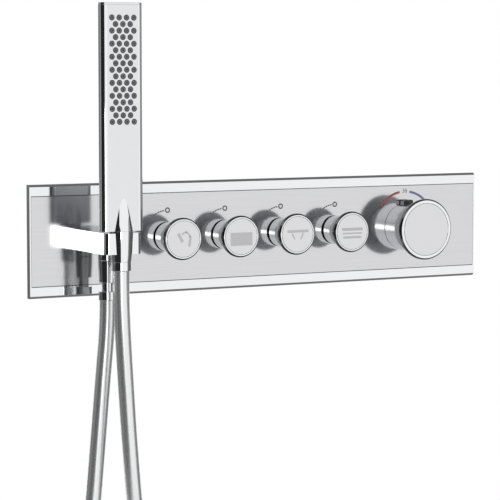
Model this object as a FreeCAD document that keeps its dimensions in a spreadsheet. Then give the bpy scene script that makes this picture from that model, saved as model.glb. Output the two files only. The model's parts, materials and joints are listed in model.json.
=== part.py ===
"""Thermostatic shower mixer for building into a wall, with a hand shower.

A long plate on the wall carries four push-and-turn outlet knobs, a temperature
knob with a safety stop and a holder arm. The arm takes the hand shower and feeds
its hose. The brass valve body with its cartridges sits in the wall behind.

Millimetres, +Z up, +X to the right as seen from the room. The finished wall is the
plane Y = 0 and the room is on its -Y side, so "out" below is the distance from the
wall into the room, and a negative "out" lies inside the wall. The origin is the
middle of the fixing holes, on the wall.
"""
import FreeCAD
import Part
import Sketcher
import math
import os
import re

# Driving sizes: name, millimetres (or a count), what it is

SIZES = [
    ("plate_width", 467, "cover plate, along X"),
    ("plate_height", 100, "cover plate, along Z"),
    ("plate_skin", 1.6, "sheet behind the inlaid panel"),
    ("plate_room", 0.2, "cover plate, clear of the screw heads behind it"),
    ("plate_rim", 2.5, "side wall of the cover plate"),
    ("plate_bevel", 2.1, "bevel along the front's top and bottom edges"),
    ("strip_height", 10, "polished strip above and below the panel"),
    ("panel_margin", 1.4, "polished margin past the panel's ends"),
    ("panel_thick", 1.2, "inlaid brushed panel"),
    ("panel_line", 0.7, "shadow line above and below the panel"),
    ("panel_end_gap", 0.2, "gap at the panel's ends"),
    ("gasket_thick", 1.5, "foam seal against the wall"),
    ("gasket_width", 5, "foam seal, width of its band"),
    ("gasket_inset", 0.5, "foam seal, in from the plate's edge"),
    ("carrier_inset_x", 18.5, "wall carrier, ends in from the plate's"),
    ("carrier_inset_z", 14, "wall carrier, edges in from the plate's"),
    ("carrier_thick", 2.5, "wall carrier"),
    ("fixing_inset_x", 13, "wall fixing holes, in from the carrier's ends"),
    ("fixing_inset_z", 10, "wall fixing holes, in from the carrier's edges"),
    ("fixing_hole_r", 2.75, "wall fixing holes"),
    ("screw_r", 2.5, "screws from the carrier into the valve body"),
    ("screw_length", 12, "screws, under the head"),
    ("screw_head_r", 4.4, "screws, head"),
    ("screw_head_h", 2, "screws, head"),
    ("screw_crown_r", 3.1, "screws, flat on the head"),
    ("screw_rise", 17, "screws, above and below the middle"),
    ("clip_length", 14, "plate clips, along X"),
    ("clip_height", 6, "plate clips, along Z"),
    ("clip_inset", 5, "plate clips, in from the carrier's edges"),
    ("clip_offset", 72, "plate clips, from the middle along X"),
    ("slip", 0.3, "gap round a piece that passes through a hole"),
    ("thread_gap", 0.1, "gap round a screwed or pushed-in piece"),
    ("thermo_gap", 1.2, "gap round the stop ring"),
    ("running", 0.05, "radial clearance of a turning or sliding fit"),
    ("bar_end", 6, "valve body, wall past the last bore at each end"),
    ("bar_wall", 4, "valve body, wall above and below the thermostat"),
    ("back_wall", 2, "valve body, wall behind the gallery"),
    ("bar_front", 18, "valve body, front face inside the wall"),
    ("bar_round", 6, "valve body, edge rounding"),
    ("boss_wall", 4, "bosses round the cartridges"),
    ("collar_room", 1.4, "gap round each collar's foot in its bore"),
    ("seat_depth", 47, "bore for each outlet cartridge, inside the wall"),
    ("thermo_bore_r", 19, "bore for the thermostat"),
    ("thermo_past", 1, "bore for the thermostat, past the gallery's middle"),
    ("gallery_r", 6, "mixed water gallery along the body"),
    ("gallery_lap", 1, "mixed water gallery, cut into each cartridge bore"),
    ("port_in", 36, "inlet and outlet ports, inside the wall"),
    ("port_boss_r", 14, "boss of each port"),
    ("port_top", 42, "outlet ports, mouth above the middle"),
    ("port_bore_r", 9.32, "G 1/2 thread, core radius"),
    ("port_thread", 14, "G 1/2 thread, length"),
    ("duct_r", 5, "water ducts between the bores"),
    ("inlet_offset", 30, "inlets, each side of the temperature axis"),
    ("union_bottom", 46, "inlet unions, mouth below the middle"),
    ("union_hex_r", 15.5, "inlet unions, hexagon over corners"),
    ("union_wall", 2.5, "inlet unions, spigot wall"),
    ("union_spigot", 11, "inlet unions, spigot length"),
    ("check_r", 7.5, "check valves"),
    ("check_room", 5, "check valves, room above"),
    ("check_bore_r", 2.5, "check valves, bore"),
    ("check_mouth_r", 5.2, "check valves, mouth"),
    ("check_mouth", 3.8, "check valves, depth of the mouth"),
    ("plug_length", 9, "gallery plug, thread"),
    ("plug_head_r", 10, "gallery plug, head"),
    ("plug_head_h", 4, "gallery plug, head"),
    ("knob_first_x", 99.5, "first knob, left of the middle"),
    ("knob_pitch", 58.35, "knobs, apart"),
    ("temp_pitch", 77.55, "temperature axis, right of the last knob"),
    ("arm_pitch", 71.7, "holder arm, left of the first knob"),
    ("housing_front", 14, "outlet cartridge, front inside the wall"),
    ("cartridge_neck", 3.5, "outlet cartridge, neck wall"),
    ("cartridge_floor", 8.4, "cartridges, floor behind the spindle"),
    ("cartridge_neck_out", 6, "outlet cartridge, neck end"),
    ("nut_front", 4, "cartridge nut, front inside the wall"),
    ("spindle_r", 4, "outlet spindle"),
    ("spindle_free", 0.6, "spindle ends, room behind them"),
    ("collar_r", 13.4, "fixed collar round each knob neck"),
    ("collar_out", 13.6, "fixed collar, end from the plate"),
    ("collar_wall", 3, "fixed collar"),
    ("collar_foot_r", 11.6, "fixed collar, foot through the plate"),
    ("collar_gap", 2, "fixed collar, shadow gap to the plate"),
    ("knob_r", 18.9, "knob disc"),
    ("knob_out", 32.1, "knob disc, face from the plate"),
    ("disc_thick", 3.6, "knob disc, at its rim"),
    ("rim_bevel", 1.4, "knob disc, bevel along its axis"),
    ("rim_width", 2.5, "knob disc, rim outside the inset"),
    ("inset_thick", 0.8, "brushed inset in a knob's face"),
    ("neck_wall", 2, "knob neck"),
    ("neck_engage", 8, "knob neck, length inside its collar"),
    ("hub_wall", 2, "knob hub round the spindle"),
    ("hub_length", 14, "knob hub, behind the disc"),
    ("push_travel", 3, "knob push"),
    ("push_spare", 0.6, "room past the end of the push"),
    ("spring_wall", 1.8, "return spring, wire and coil band"),
    ("thermo_front", 6, "thermostat, front of its housing inside the wall"),
    ("thermo_neck_r", 11, "thermostat, neck"),
    ("thermo_neck_out", 9, "thermostat, neck end"),
    ("thermo_spindle_r", 5, "thermostat spindle"),
    ("stop_ring_r", 13.5, "stop ring on the thermostat neck"),
    ("stop_ring_in", 3, "stop ring, inner end from the wall"),
    ("stop_ring_h", 5.5, "stop ring"),
    ("skirt_r", 22.1, "temperature knob skirt"),
    ("skirt_wall", 2.8, "temperature knob skirt"),
    ("skirt_out", 17.5, "temperature knob skirt, end from the plate"),
    ("skirt_web", 3, "temperature knob skirt, web on the hub"),
    ("skirt_gap", 0.4, "temperature knob skirt, gap to the plate"),
    ("temp_r", 28.6, "temperature knob disc"),
    ("temp_out", 38.55, "temperature knob disc, face from the plate"),
    ("temp_neck_r", 15.5, "temperature knob neck"),
    ("temp_crown", 8.8, "temperature knob, from the spindle's end to the disc"),
    ("temp_hub_room", 0.4, "temperature knob hub, off the thermostat's neck"),
    ("temp_hub_r", 9, "temperature knob hub"),
    ("button_width", 10.4, "safety stop button, along X"),
    ("button_depth", 5.9, "safety stop button, front to back"),
    ("button_start", 1.2, "safety stop button, from the plate"),
    ("button_pressed", 1.6, "safety stop button, above the skirt when pressed"),
    ("button_travel", 2.5, "safety stop button, push"),
    ("button_lip", 1.2, "safety stop button, lip that holds it in"),
    ("button_lip_h", 1.5, "safety stop button, lip"),
    ("button_spring_r", 2.2, "safety stop button spring"),
    ("arm_width", 34.6, "holder arm"),
    ("arm_top", 9.7, "holder arm, above the middle"),
    ("arm_bottom", 8.6, "holder arm, below the middle"),
    ("arm_round", 5, "holder arm, front corners"),
    ("seat_offset", 28.7, "hand shower seat, in front of the hose outlet"),
    ("arm_lip", 6.4, "holder arm, in front of the seat's axis"),
    ("seat_gap", 0.3, "hand shower seat, round the cone"),
    ("pipe_r", 7, "feed pipe from the body into the arm"),
    ("pipe_wall", 2.5, "feed pipe"),
    ("pipe_stop", 3.5, "feed pipe, end before the outlet's bore"),
    ("pipe_in", 15, "feed pipe, inner end inside the wall"),
    ("pipe_boss_r", 12, "feed pipe, boss on the body"),
    ("lock_r", 2, "arm locking screw"),
    ("lock_out", 8, "arm locking screw, from the plate"),
    ("outlet_out", 25.6, "hose outlet, axis from the plate"),
    ("nipple_head_r", 8.2, "hose outlet nipple, head"),
    ("nipple_head_h", 6, "hose outlet nipple, head"),
    ("nipple_r", 6, "hose outlet nipple, sleeve"),
    ("nipple_length", 29, "hose outlet nipple, sleeve"),
    ("nipple_spigot", 5, "hose outlet nipple, thread in the arm"),
    ("hose_bore_r", 3.4, "bore through the hose fittings"),
    ("tail_r", 7.6, "hose ferrule at the outlet"),
    ("tail_length", 7.8, "hose ferrule at the outlet"),
    ("cone_top_r", 10.2, "hose cone nut, at the top"),
    ("cone_low_r", 9.4, "hose cone nut, at the arm's underside"),
    ("cone_end_r", 8.6, "hose cone nut, at its lower end"),
    ("cone_below", 7, "hose cone nut, below the arm"),
    ("spigot_r", 4.9, "hand shower spigot in the cone nut"),
    ("spigot_length", 12.8, "hand shower spigot, below the stick"),
    ("washer_h", 2.2, "hose washer"),
    ("ferrule_r", 8.5, "hose ferrule under the cone nut"),
    ("ferrule_length", 7.8, "hose ferrule under the cone nut"),
    ("hose_r", 7, "hose"),
    ("stick_width", 40.2, "hand shower, along X"),
    ("stick_thick", 11.2, "hand shower, front to back"),
    ("stick_length", 195.8, "hand shower"),
    ("stick_gap", 1.7, "hand shower, above the arm"),
    ("stick_wall", 1.8, "hand shower, wall"),
    ("stick_solid", 15, "hand shower, solid lower end"),
    ("cap_thick", 2, "hand shower, end cap"),
    ("nib_r", 10.2, "cone that stands out of the stick's lower end, at its foot"),
    ("nib_height", 36, "cone that stands out of the stick's lower end"),
    ("nib_end_r", 4.4, "cone that stands out of the stick, upper end inside it"),
    ("nozzle_rows", 17, "rows of nozzles, count"),
    ("nozzle_most", 4, "nozzles in a full row, count"),
    ("nozzle_pitch_x", 6.9, "nozzles, apart along X"),
    ("nozzle_pitch_z", 5.55, "nozzle rows, apart along Z"),
    ("nozzle_first", 13, "top nozzle row, below the stick's top"),
    ("nozzle_hole_r", 2.3, "nozzle holes in the face"),
    ("nozzle_r", 2, "nozzles"),
    ("nozzle_proud", 0.5, "nozzles, out of the face"),
    ("mat_thick", 1.5, "nozzle mat"),
    ("mat_margin", 4, "nozzle mat, past the outer rows"),
    ("waterway_width", 24, "hand shower waterway"),
    ("waterway_gap", 0.7, "hand shower waterway, to the shell's back"),
]

# Places that follow from the driving sizes

DERIVED = {
    "cavity_out": "carrier_thick + screw_head_h + plate_room",
    "front": "cavity_out + plate_skin + panel_thick",
    "panel_reach": "(plate_width / 2 - panel_margin)",
    "carrier_half_x": "(plate_width / 2 - carrier_inset_x)",
    "carrier_half_z": "(plate_height / 2 - carrier_inset_z)",
    "fixing_half_x": "(carrier_half_x - fixing_inset_x)",
    "fixing_half_z": "(carrier_half_z - fixing_inset_z)",
    "clip_rise": "(carrier_half_z - clip_inset)",
    "temp_x": "(knob_pitch * 3 - knob_first_x + temp_pitch)",
    "arm_x": "(knob_first_x + arm_pitch)",
    "collar_end": "front + collar_out",
    "collar_bore": "collar_r - collar_wall",
    "neck_r": "collar_bore - slip",
    "neck_bore": "neck_r - neck_wall",
    "disc_front": "front + knob_out",
    "disc_back": "disc_front - disc_thick",
    "inset_r": "knob_r - rim_width",
    "hub_r": "spindle_r + hub_wall",
    "hub_end": "disc_back - hub_length",
    "spindle_out": "disc_back - push_travel - push_spare",
    "temp_front": "front + temp_out",
    "temp_back": "temp_front - disc_thick",
    "temp_inset_r": "temp_r - rim_width - rim_bevel",
    "thermo_spindle_out": "temp_back - temp_crown",
    "temp_hub_in": "thermo_neck_out + temp_hub_room",
    "skirt_in": "front + skirt_gap",
    "skirt_end": "front + skirt_out",
    "skirt_bore": "skirt_r - skirt_wall",
    "button_in": "front + button_start",
    "button_end": "button_in + button_depth",
    "button_top": "skirt_r + button_pressed + button_travel",
    "button_lip_top": "sqrt((skirt_bore) ^ 2 - (button_width / 2 + button_lip) ^ 2) - slip",
    "button_lip_low": "button_lip_top - button_lip_h",
    "arm_mid": "(arm_top - arm_bottom) / 2",
    "outlet": "front + outlet_out",
    "seat": "outlet + seat_offset",
    "arm_end": "seat + arm_lip",
    "pipe_bore": "pipe_r - pipe_wall",
    "pipe_end": "outlet - duct_r - pipe_stop",
    "nipple_top": "-arm_bottom",
    "sleeve_top": "nipple_top - nipple_head_h",
    "tail_top": "sleeve_top - nipple_length",
    "tail_end": "tail_top - tail_length",
    "stick_flat": "(stick_width / 2 - stick_thick / 2)",
    "stick_bottom": "arm_top + stick_gap",
    "stick_top": "stick_bottom + stick_length",
    "cap_bottom": "stick_top - cap_thick",
    "cavity_floor": "stick_bottom + stick_solid",
    "cone_end": "-arm_bottom - cone_below",
    "spigot_end": "stick_bottom - spigot_length",
    "washer_end": "spigot_end - washer_h",
    "ferrule_end": "cone_end - ferrule_length",
    "seat_bore_r": "collar_foot_r + collar_room",
    "seat_boss_r": "seat_bore_r + boss_wall",
    "cartridge_neck_r": "spindle_r + cartridge_neck",
    "spindle_in": "(seat_depth - cartridge_floor - spindle_free)",
    "gallery_in": "(seat_depth + gallery_r - gallery_lap)",
    "thermo_depth": "(gallery_in + thermo_past)",
    "thermo_boss_r": "thermo_bore_r + boss_wall",
    "thermo_spindle_in": "(thermo_depth - cartridge_floor - spindle_free)",
    "union_spigot_r": "check_r + union_wall",
    "bar_half": "(thermo_bore_r + bar_wall)",
    "bar_back": "gallery_in + gallery_r + back_wall",
    "bar_left": "(arm_x + pipe_boss_r + bar_end)",
    "bar_right": "temp_x + inlet_offset + union_spigot_r + bar_end",
    "check_low": "port_thread - union_bottom",
    "check_high": "union_spigot - bar_half - check_room",
    "waterway_thick": "stick_thick - 2 * stick_wall - mat_thick - waterway_gap",
}

# The hose's route, chosen by hand: it leaves the outlet, hangs in one loop that
# opens along the wall and comes back up to the hand shower. Each point is the
# distance right of the arm's middle, out of the wall and up.

HOSE_ROUTE = [
    (0, 33.1, -51.4),
    (0, 33.1, -73),
    (-5, 33.7, -119),
    (-11.1, 35.3, -179),
    (-19.8, 37.6, -259),
    (-41, 40.7, -344),
    (-66.5, 43.3, -422),
    (-84, 45.2, -486),
    (-66.6, 46.7, -533),
    (-25.2, 48, -562),
    (25.2, 49.3, -562),
    (66.6, 50.6, -533),
    (84, 52.2, -486),
    (66.5, 54.1, -422),
    (40, 56.3, -344),
    (16.4, 58.4, -259),
    (8.2, 60.2, -179),
    (3.5, 61.3, -112),
    (0, 61.8, -54),
    (0, 61.8, -23.4),
]
BEND_SHARE = 0.45

AXES = {
    "out": FreeCAD.Rotation(FreeCAD.Vector(1, 0, 0), 90),
    "up": FreeCAD.Rotation(),
    "right": FreeCAD.Rotation(FreeCAD.Vector(0, 1, 0), 90),
}
OVERCUT = "1"
SKETCH_RING = 9
SKETCH_MIDDLE = 20

doc = FreeCAD.newDocument("shower_mixer")
sheet = doc.addObject("Spreadsheet::Sheet", "sizes")
for row, (alias, value, meaning) in enumerate(SIZES, start=1):
    sheet.set(f"A{row}", meaning)
    sheet.set(f"B{row}", str(value))
    sheet.setAlias(f"B{row}", alias)
doc.recompute()

ALIASES = {alias for alias, value, meaning in SIZES}
nodes = []


def size(alias):
    """Read a driving size from the sheet."""
    return float(sheet.get(alias))


def formula(text):
    """Write the sheet's cells and the derived places out in full."""
    def expand(match):
        word = match.group(0)
        if word in DERIVED:
            return f"({formula(DERIVED[word])})"
        return f"sizes.{word}" if word in ALIASES else word
    return re.sub(r"[a-z_]+", expand, str(text))


def place(item, along, x, y, z):
    """Turn an object to its axis and tie its base point to the sheet."""
    item.Placement = FreeCAD.Placement(FreeCAD.Vector(), AXES[along])
    for way, text in (("x", x), ("y", y), ("z", z)):
        item.setExpression(f"Placement.Base.{way}", formula(text))


def at_axis(along, start, across):
    """Give the base point of a piece that starts at a height along its axis."""
    if along == "out":
        return across[0], f"-({start})", across[1]
    if along == "up":
        return across[0], across[1], start
    return start, across[0], across[1]


def add(kind, name, **properties):
    """Add a Part object with its sizes tied to the sheet."""
    item = doc.addObject(kind, name)
    for key, text in properties.items():
        item.setExpression(key, formula(text))
    return item


def block(name, x, y, z):
    """Make a box from its low and high side along each axis."""
    item = add("Part::Box", name, Length=f"{x[1]} - ({x[0]})", Width=f"{y[1]} - ({y[0]})",
               Height=f"{z[1]} - ({z[0]})")
    place(item, "up", x[0], y[0], z[0])
    return item


def rod(name, radius, span, along, across):
    """Make a cylinder along an axis, between two heights on it."""
    item = add("Part::Cylinder", name, Radius=radius, Height=f"{span[1]} - ({span[0]})")
    place(item, along, *at_axis(along, span[0], across))
    return item


def taper(name, low_r, high_r, span, across):
    """Make an upright cone between two heights."""
    item = add("Part::Cone", name, Radius1=low_r, Radius2=high_r, Height=f"{span[1]} - ({span[0]})")
    place(item, "up", *at_axis("up", span[0], across))
    return item


def joined(name, items):
    """Fuse objects into one."""
    item = doc.addObject("Part::MultiFuse", name)
    item.Shapes = items
    item.Refine = True
    return item


def cut(name, base, tools):
    """Cut tools out of an object."""
    item = doc.addObject("Part::Cut", name)
    item.Base = base
    item.Tool = tools[0] if len(tools) == 1 else joined(f"{name}_tools", tools)
    item.Refine = True
    return item


def group(name, items):
    """Keep like pieces together as separate solids."""
    item = doc.addObject("Part::Compound", name)
    item.Links = items
    return item


def rounded(name, spans, radius, along):
    """Make a box whose four edges along one axis are rounded."""
    sides = [way for way in "xyz" if way != {"up": "z", "right": "x"}[along]]
    pieces = []
    for narrow in sides:
        ranges = dict(spans)
        ranges[narrow] = (f"{spans[narrow][0]} + {radius}", f"{spans[narrow][1]} - {radius}")
        pieces.append(block(f"{name}_core_{narrow}", ranges["x"], ranges["y"], ranges["z"]))
    for i in (0, 1):
        for j in (0, 1):
            first = f"{spans[sides[0]][i]} {'-+'[i == 0]} {radius}"
            second = f"{spans[sides[1]][j]} {'-+'[j == 0]} {radius}"
            run = spans["z"] if along == "up" else spans["x"]
            pieces.append(rod(f"{name}_edge_{i}{j}", radius, run, along, (first, second)))
    return joined(name, pieces)


def turned(name, outline, along, across):
    """Turn a closed outline of (radius, height) points about an axis.

    The outline starts as a ring of points, which the sheet's sizes then move.
    """
    body = doc.addObject("PartDesign::Body", name)
    plane = next(item for item in body.Origin.OriginFeatures if item.Role == "XZ_Plane")
    sketch = body.newObject("Sketcher::SketchObject", f"{name}_outline")
    sketch.AttachmentSupport = [(plane, "")]
    sketch.MapMode = "FlatFace"
    count = len(outline)
    turn = 2 * math.pi / count
    start = []
    for i in range(count):
        ring_x, ring_y = SKETCH_RING * math.cos(i * turn), SKETCH_RING * math.sin(i * turn)
        start.append(FreeCAD.Vector(SKETCH_MIDDLE + ring_x, ring_y, 0))
    for i in range(count):
        sketch.addGeometry(Part.LineSegment(start[i], start[(i + 1) % count]))
    for i in range(count):
        sketch.addConstraint(Sketcher.Constraint("Coincident", i, 2, (i + 1) % count, 1))
    for i, (radius, height) in enumerate(outline):
        for way, text, value in (("DistanceX", radius, start[i].x), ("DistanceY", height, start[i].y)):
            index = sketch.addConstraint(Sketcher.Constraint(way, -1, 1, i, 1, value))
            sketch.setExpression(f"Constraints[{index}]", formula(text))
    feature = body.newObject("PartDesign::Revolution", f"{name}_turn")
    feature.Profile = sketch
    feature.ReferenceAxis = (sketch, ["V_Axis"])
    feature.Angle = 360
    body.Tip = feature
    place(body, along, *at_axis(along, "0", across))
    return body


def tube(name, outer, bore, span, along, across):
    """Turn a plain sleeve."""
    outline = [(bore, span[0]), (outer, span[0]), (outer, span[1]), (bore, span[1])]
    return turned(name, outline, along, across)


def node(item, label):
    """Name an object as a finished piece."""
    item.Label = label
    nodes.append(item)
    return item


KNOBS = (1, 2, 3, 4)
KNOB_X = {k: f"(knob_pitch * {k - 1} - knob_first_x)" for k in KNOBS}
ARM_X = "(-arm_x)"
MIDDLE = "0"


def through_holes(name, span, slack):
    """Make the tools for the holes that the collars, thermostat and feed pipe pass."""
    tools = [rod(f"{name}_collar_{k}", f"collar_foot_r + {slack}", span, "out", (KNOB_X[k], MIDDLE))
             for k in KNOBS]
    tools.append(rod(f"{name}_thermo", "stop_ring_r + thermo_gap", span, "out", ("temp_x", MIDDLE)))
    tools.append(rod(f"{name}_pipe", f"pipe_r + {slack}", span, "out", (ARM_X, "arm_mid")))
    return tools


# Cover plate, inlaid panel, seal and wall carrier

def cover_plate():
    """A shallow tray, bevelled along its top and bottom, with a channel for the panel."""
    wide, high = ("-plate_width / 2", "plate_width / 2"), ("-plate_height / 2", "plate_height / 2")
    tray = block("plate_tray", wide, ("-(front - plate_bevel)", "-gasket_thick"), high)
    edge = add("Part::Wedge", "plate_edge", Ymin="-front", Ymax="-(front - plate_bevel)",
               Zmin="plate_bevel - plate_height / 2", Zmax="plate_height / 2 - plate_bevel",
               Xmin=wide[0], Xmax=wide[1], X2min=wide[0], X2max=wide[1], Z2min=high[0], Z2max=high[1])
    hollow = block("plate_hollow", ("plate_rim - plate_width / 2", "plate_width / 2 - plate_rim"),
                   ("-cavity_out", OVERCUT),
                   ("plate_rim - plate_height / 2", "plate_height / 2 - plate_rim"))
    channel = block("plate_channel", ("-panel_reach", "panel_reach"),
                    (f"-front - {OVERCUT}", "-(front - panel_thick)"),
                    ("strip_height - plate_height / 2", "plate_height / 2 - strip_height"))
    holes = through_holes("plate_hole", ("0", f"front + {OVERCUT}"), "slip")
    node(cut("plate", joined("plate_blank", [tray, edge]), [hollow, channel] + holes), "cover_plate")
    sheet_x = ("-panel_reach + panel_end_gap", "panel_reach - panel_end_gap")
    sheet_z = ("strip_height + panel_line - plate_height / 2", "plate_height / 2 - strip_height - panel_line")
    blank = block("panel_blank", sheet_x, ("-front", "-(front - panel_thick)"), sheet_z)
    holes = through_holes("panel_hole", ("0", f"front + {OVERCUT}"), "slip")
    node(cut("panel", blank, holes), "centre_panel")


def gasket():
    """The foam band under the cover plate's rim."""
    def band(name, inset, depth):
        return block(name, (f"{inset} - plate_width / 2", f"plate_width / 2 - ({inset})"), depth,
                     (f"{inset} - plate_height / 2", f"plate_height / 2 - ({inset})"))
    outside = band("gasket_outside", "gasket_inset", ("-gasket_thick", "0"))
    inside = band("gasket_inside", "gasket_inset + gasket_width", (f"-gasket_thick - {OVERCUT}", OVERCUT))
    node(cut("gasket", outside, [inside]), "plate_gasket")


SCREW_X = ("(knob_pitch / 2 - knob_first_x)", "(temp_x - temp_pitch / 2)")


def carrier():
    """The wall carrier, the screws that hold the valve body on it, and the plate's clips."""
    base = block("carrier_blank", ("-carrier_half_x", "carrier_half_x"), ("-carrier_thick", "0"),
                 ("-carrier_half_z", "carrier_half_z"))
    span = (f"-{OVERCUT}", f"carrier_thick + {OVERCUT}")
    tools = through_holes("carrier_hole", span, "2 * slip")
    screws, clips = [], []
    for i, side in enumerate(("-", "")):
        for j, rise in enumerate(("-", "")):
            spot = (f"{side}fixing_half_x", f"{rise}fixing_half_z")
            tools.append(rod(f"carrier_fixing_{i}{j}", "fixing_hole_r", span, "out", spot))
            spot = (SCREW_X[i], f"{rise}screw_rise")
            tools.append(rod(f"carrier_screw_hole_{i}{j}", "screw_r + slip", span, "out", spot))
            shank = ("screw_r", "carrier_thick")
            top = "carrier_thick + screw_head_h"
            head = [("screw_head_r", "carrier_thick"), ("screw_head_r", "carrier_thick + screw_head_h / 2"),
                    ("screw_crown_r", top), ("0", top)]
            tip = [("0", "carrier_thick - screw_length"), ("screw_r", "carrier_thick - screw_length")]
            screws.append(turned(f"screw_{i}{j}", tip + [shank] + head, "out", spot))
            middle_x, middle_z = f"({side}clip_offset)", f"({rise}clip_rise)"
            clips.append(block(f"clip_{i}{j}",
                               (f"{middle_x} - clip_length / 2", f"{middle_x} + clip_length / 2"),
                               ("-cavity_out", "-carrier_thick"),
                               (f"{middle_z} - clip_height / 2", f"{middle_z} + clip_height / 2")))
    node(cut("carrier", base, tools), "wall_carrier")
    node(group("screws", screws), "carrier_screws")
    node(group("clips", clips), "plate_clips")


# Valve body in the wall

PORT_Y = "port_in"
INLET_X = {"hot": "(temp_x - inlet_offset)", "cold": "(temp_x + inlet_offset)"}


def valve_body():
    """The brass body: a bar with bosses, bored for cartridges, ports and ducts."""
    spans = {"x": ("-bar_left", "bar_right"), "y": ("bar_front", "bar_back"), "z": ("-bar_half", "bar_half")}
    solids = [rounded("body_bar", spans, "bar_round", "right")]
    tools = [rod("gallery", "gallery_r", (f"-bar_left - {OVERCUT}", "temp_x"), "right",
                 ("gallery_in", MIDDLE))]
    boss = ("-bar_front - bar_round", "0")
    for k in KNOBS:
        spot = (KNOB_X[k], MIDDLE)
        solids.append(rod(f"seat_boss_{k}", "seat_boss_r", boss, "out", spot))
        tools.append(rod(f"seat_bore_{k}", "seat_bore_r", ("-seat_depth", OVERCUT), "out", spot))
    solids.append(rod("thermo_boss", "thermo_boss_r", boss, "out", ("temp_x", MIDDLE)))
    tools.append(rod("thermo_bore", "thermo_bore_r", ("-thermo_depth", OVERCUT), "out", ("temp_x", MIDDLE)))
    solids.append(rod("pipe_boss", "pipe_boss_r", boss, "out", (ARM_X, "arm_mid")))
    tools.append(rod("pipe_seat", "pipe_r + thread_gap", ("-pipe_in", OVERCUT), "out", (ARM_X, "arm_mid")))
    tools.append(rod("pipe_duct", "pipe_bore", ("-port_in", "0"), "out", (ARM_X, "arm_mid")))
    tools.append(rod("hand_duct", "pipe_bore", (ARM_X, KNOB_X[1]), "right", (PORT_Y, "arm_mid")))
    for k in KNOBS[1:]:
        spot = (KNOB_X[k], PORT_Y)
        solids.append(rod(f"outlet_boss_{k}", "port_boss_r", (MIDDLE, "port_top"), "up", spot))
        tools.append(rod(f"outlet_thread_{k}", "port_bore_r",
                         ("port_top - port_thread", f"port_top + {OVERCUT}"), "up", spot))
        tools.append(rod(f"outlet_duct_{k}", "duct_r", (MIDDLE, "port_top"), "up", spot))
    for side, x in INLET_X.items():
        spot = (x, PORT_Y)
        tools.append(rod(f"{side}_seat", "union_spigot_r + thread_gap",
                         (f"-bar_half - {OVERCUT}", "union_spigot - bar_half"), "up", spot))
        tools.append(rod(f"{side}_duct_up", "duct_r", ("-bar_half", MIDDLE), "up", spot))
        ends = (x, "temp_x") if side == "hot" else ("temp_x", x)
        tools.append(rod(f"{side}_duct_across", "duct_r", ends, "right", (PORT_Y, MIDDLE)))
    for i, x in enumerate(SCREW_X):
        for j, rise in enumerate(("-", "")):
            spot = (x, f"{rise}screw_rise")
            solids.append(rod(f"lug_{i}{j}", "screw_head_r + slip", boss, "out", spot))
            tools.append(rod(f"lug_bore_{i}{j}", "screw_r + thread_gap",
                             (f"carrier_thick - screw_length - {OVERCUT}", OVERCUT), "out", spot))
    node(cut("body", joined("body_blank", solids), tools), "valve_body")
    outline = [("0", "-bar_left - plug_head_h"), ("plug_head_r", "-bar_left - plug_head_h"),
               ("plug_head_r", "-bar_left"), ("gallery_r - thread_gap", "-bar_left"),
               ("gallery_r - thread_gap", "plug_length - bar_left"), ("0", "plug_length - bar_left")]
    node(turned("plug", outline, "right", ("gallery_in", MIDDLE)), "gallery_plug")


def inlets():
    """The hot and cold unions, each with a check valve inside."""
    for side, x in INLET_X.items():
        spot = (x, PORT_Y)
        hexagon = add("Part::Prism", f"{side}_hexagon", Circumradius="union_hex_r",
                      Height="union_bottom - bar_half")
        hexagon.Polygon = 6
        place(hexagon, "up", x, PORT_Y, "-union_bottom")
        spigot = rod(f"{side}_spigot", "union_spigot_r", ("-bar_half", "union_spigot - bar_half"), "up", spot)
        thread = rod(f"{side}_thread", "port_bore_r",
                     (f"-union_bottom - {OVERCUT}", "check_low"), "up", spot)
        bore = rod(f"{side}_check_bore", "check_r + running",
                   ("check_low", f"union_spigot - bar_half + {OVERCUT}"), "up", spot)
        node(cut(f"{side}_union", joined(f"{side}_union_blank", [hexagon, spigot]), [thread, bore]),
             f"{side}_inlet_union")
        outline = [("check_bore_r", "check_low"), ("check_r", "check_low"), ("check_r", "check_high"),
                   ("check_mouth_r", "check_high"), ("check_bore_r", "check_high - check_mouth")]
        node(turned(f"{side}_check", outline, "up", spot), f"{side}_check_valve")


# Outlet knobs with their cartridges

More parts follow.
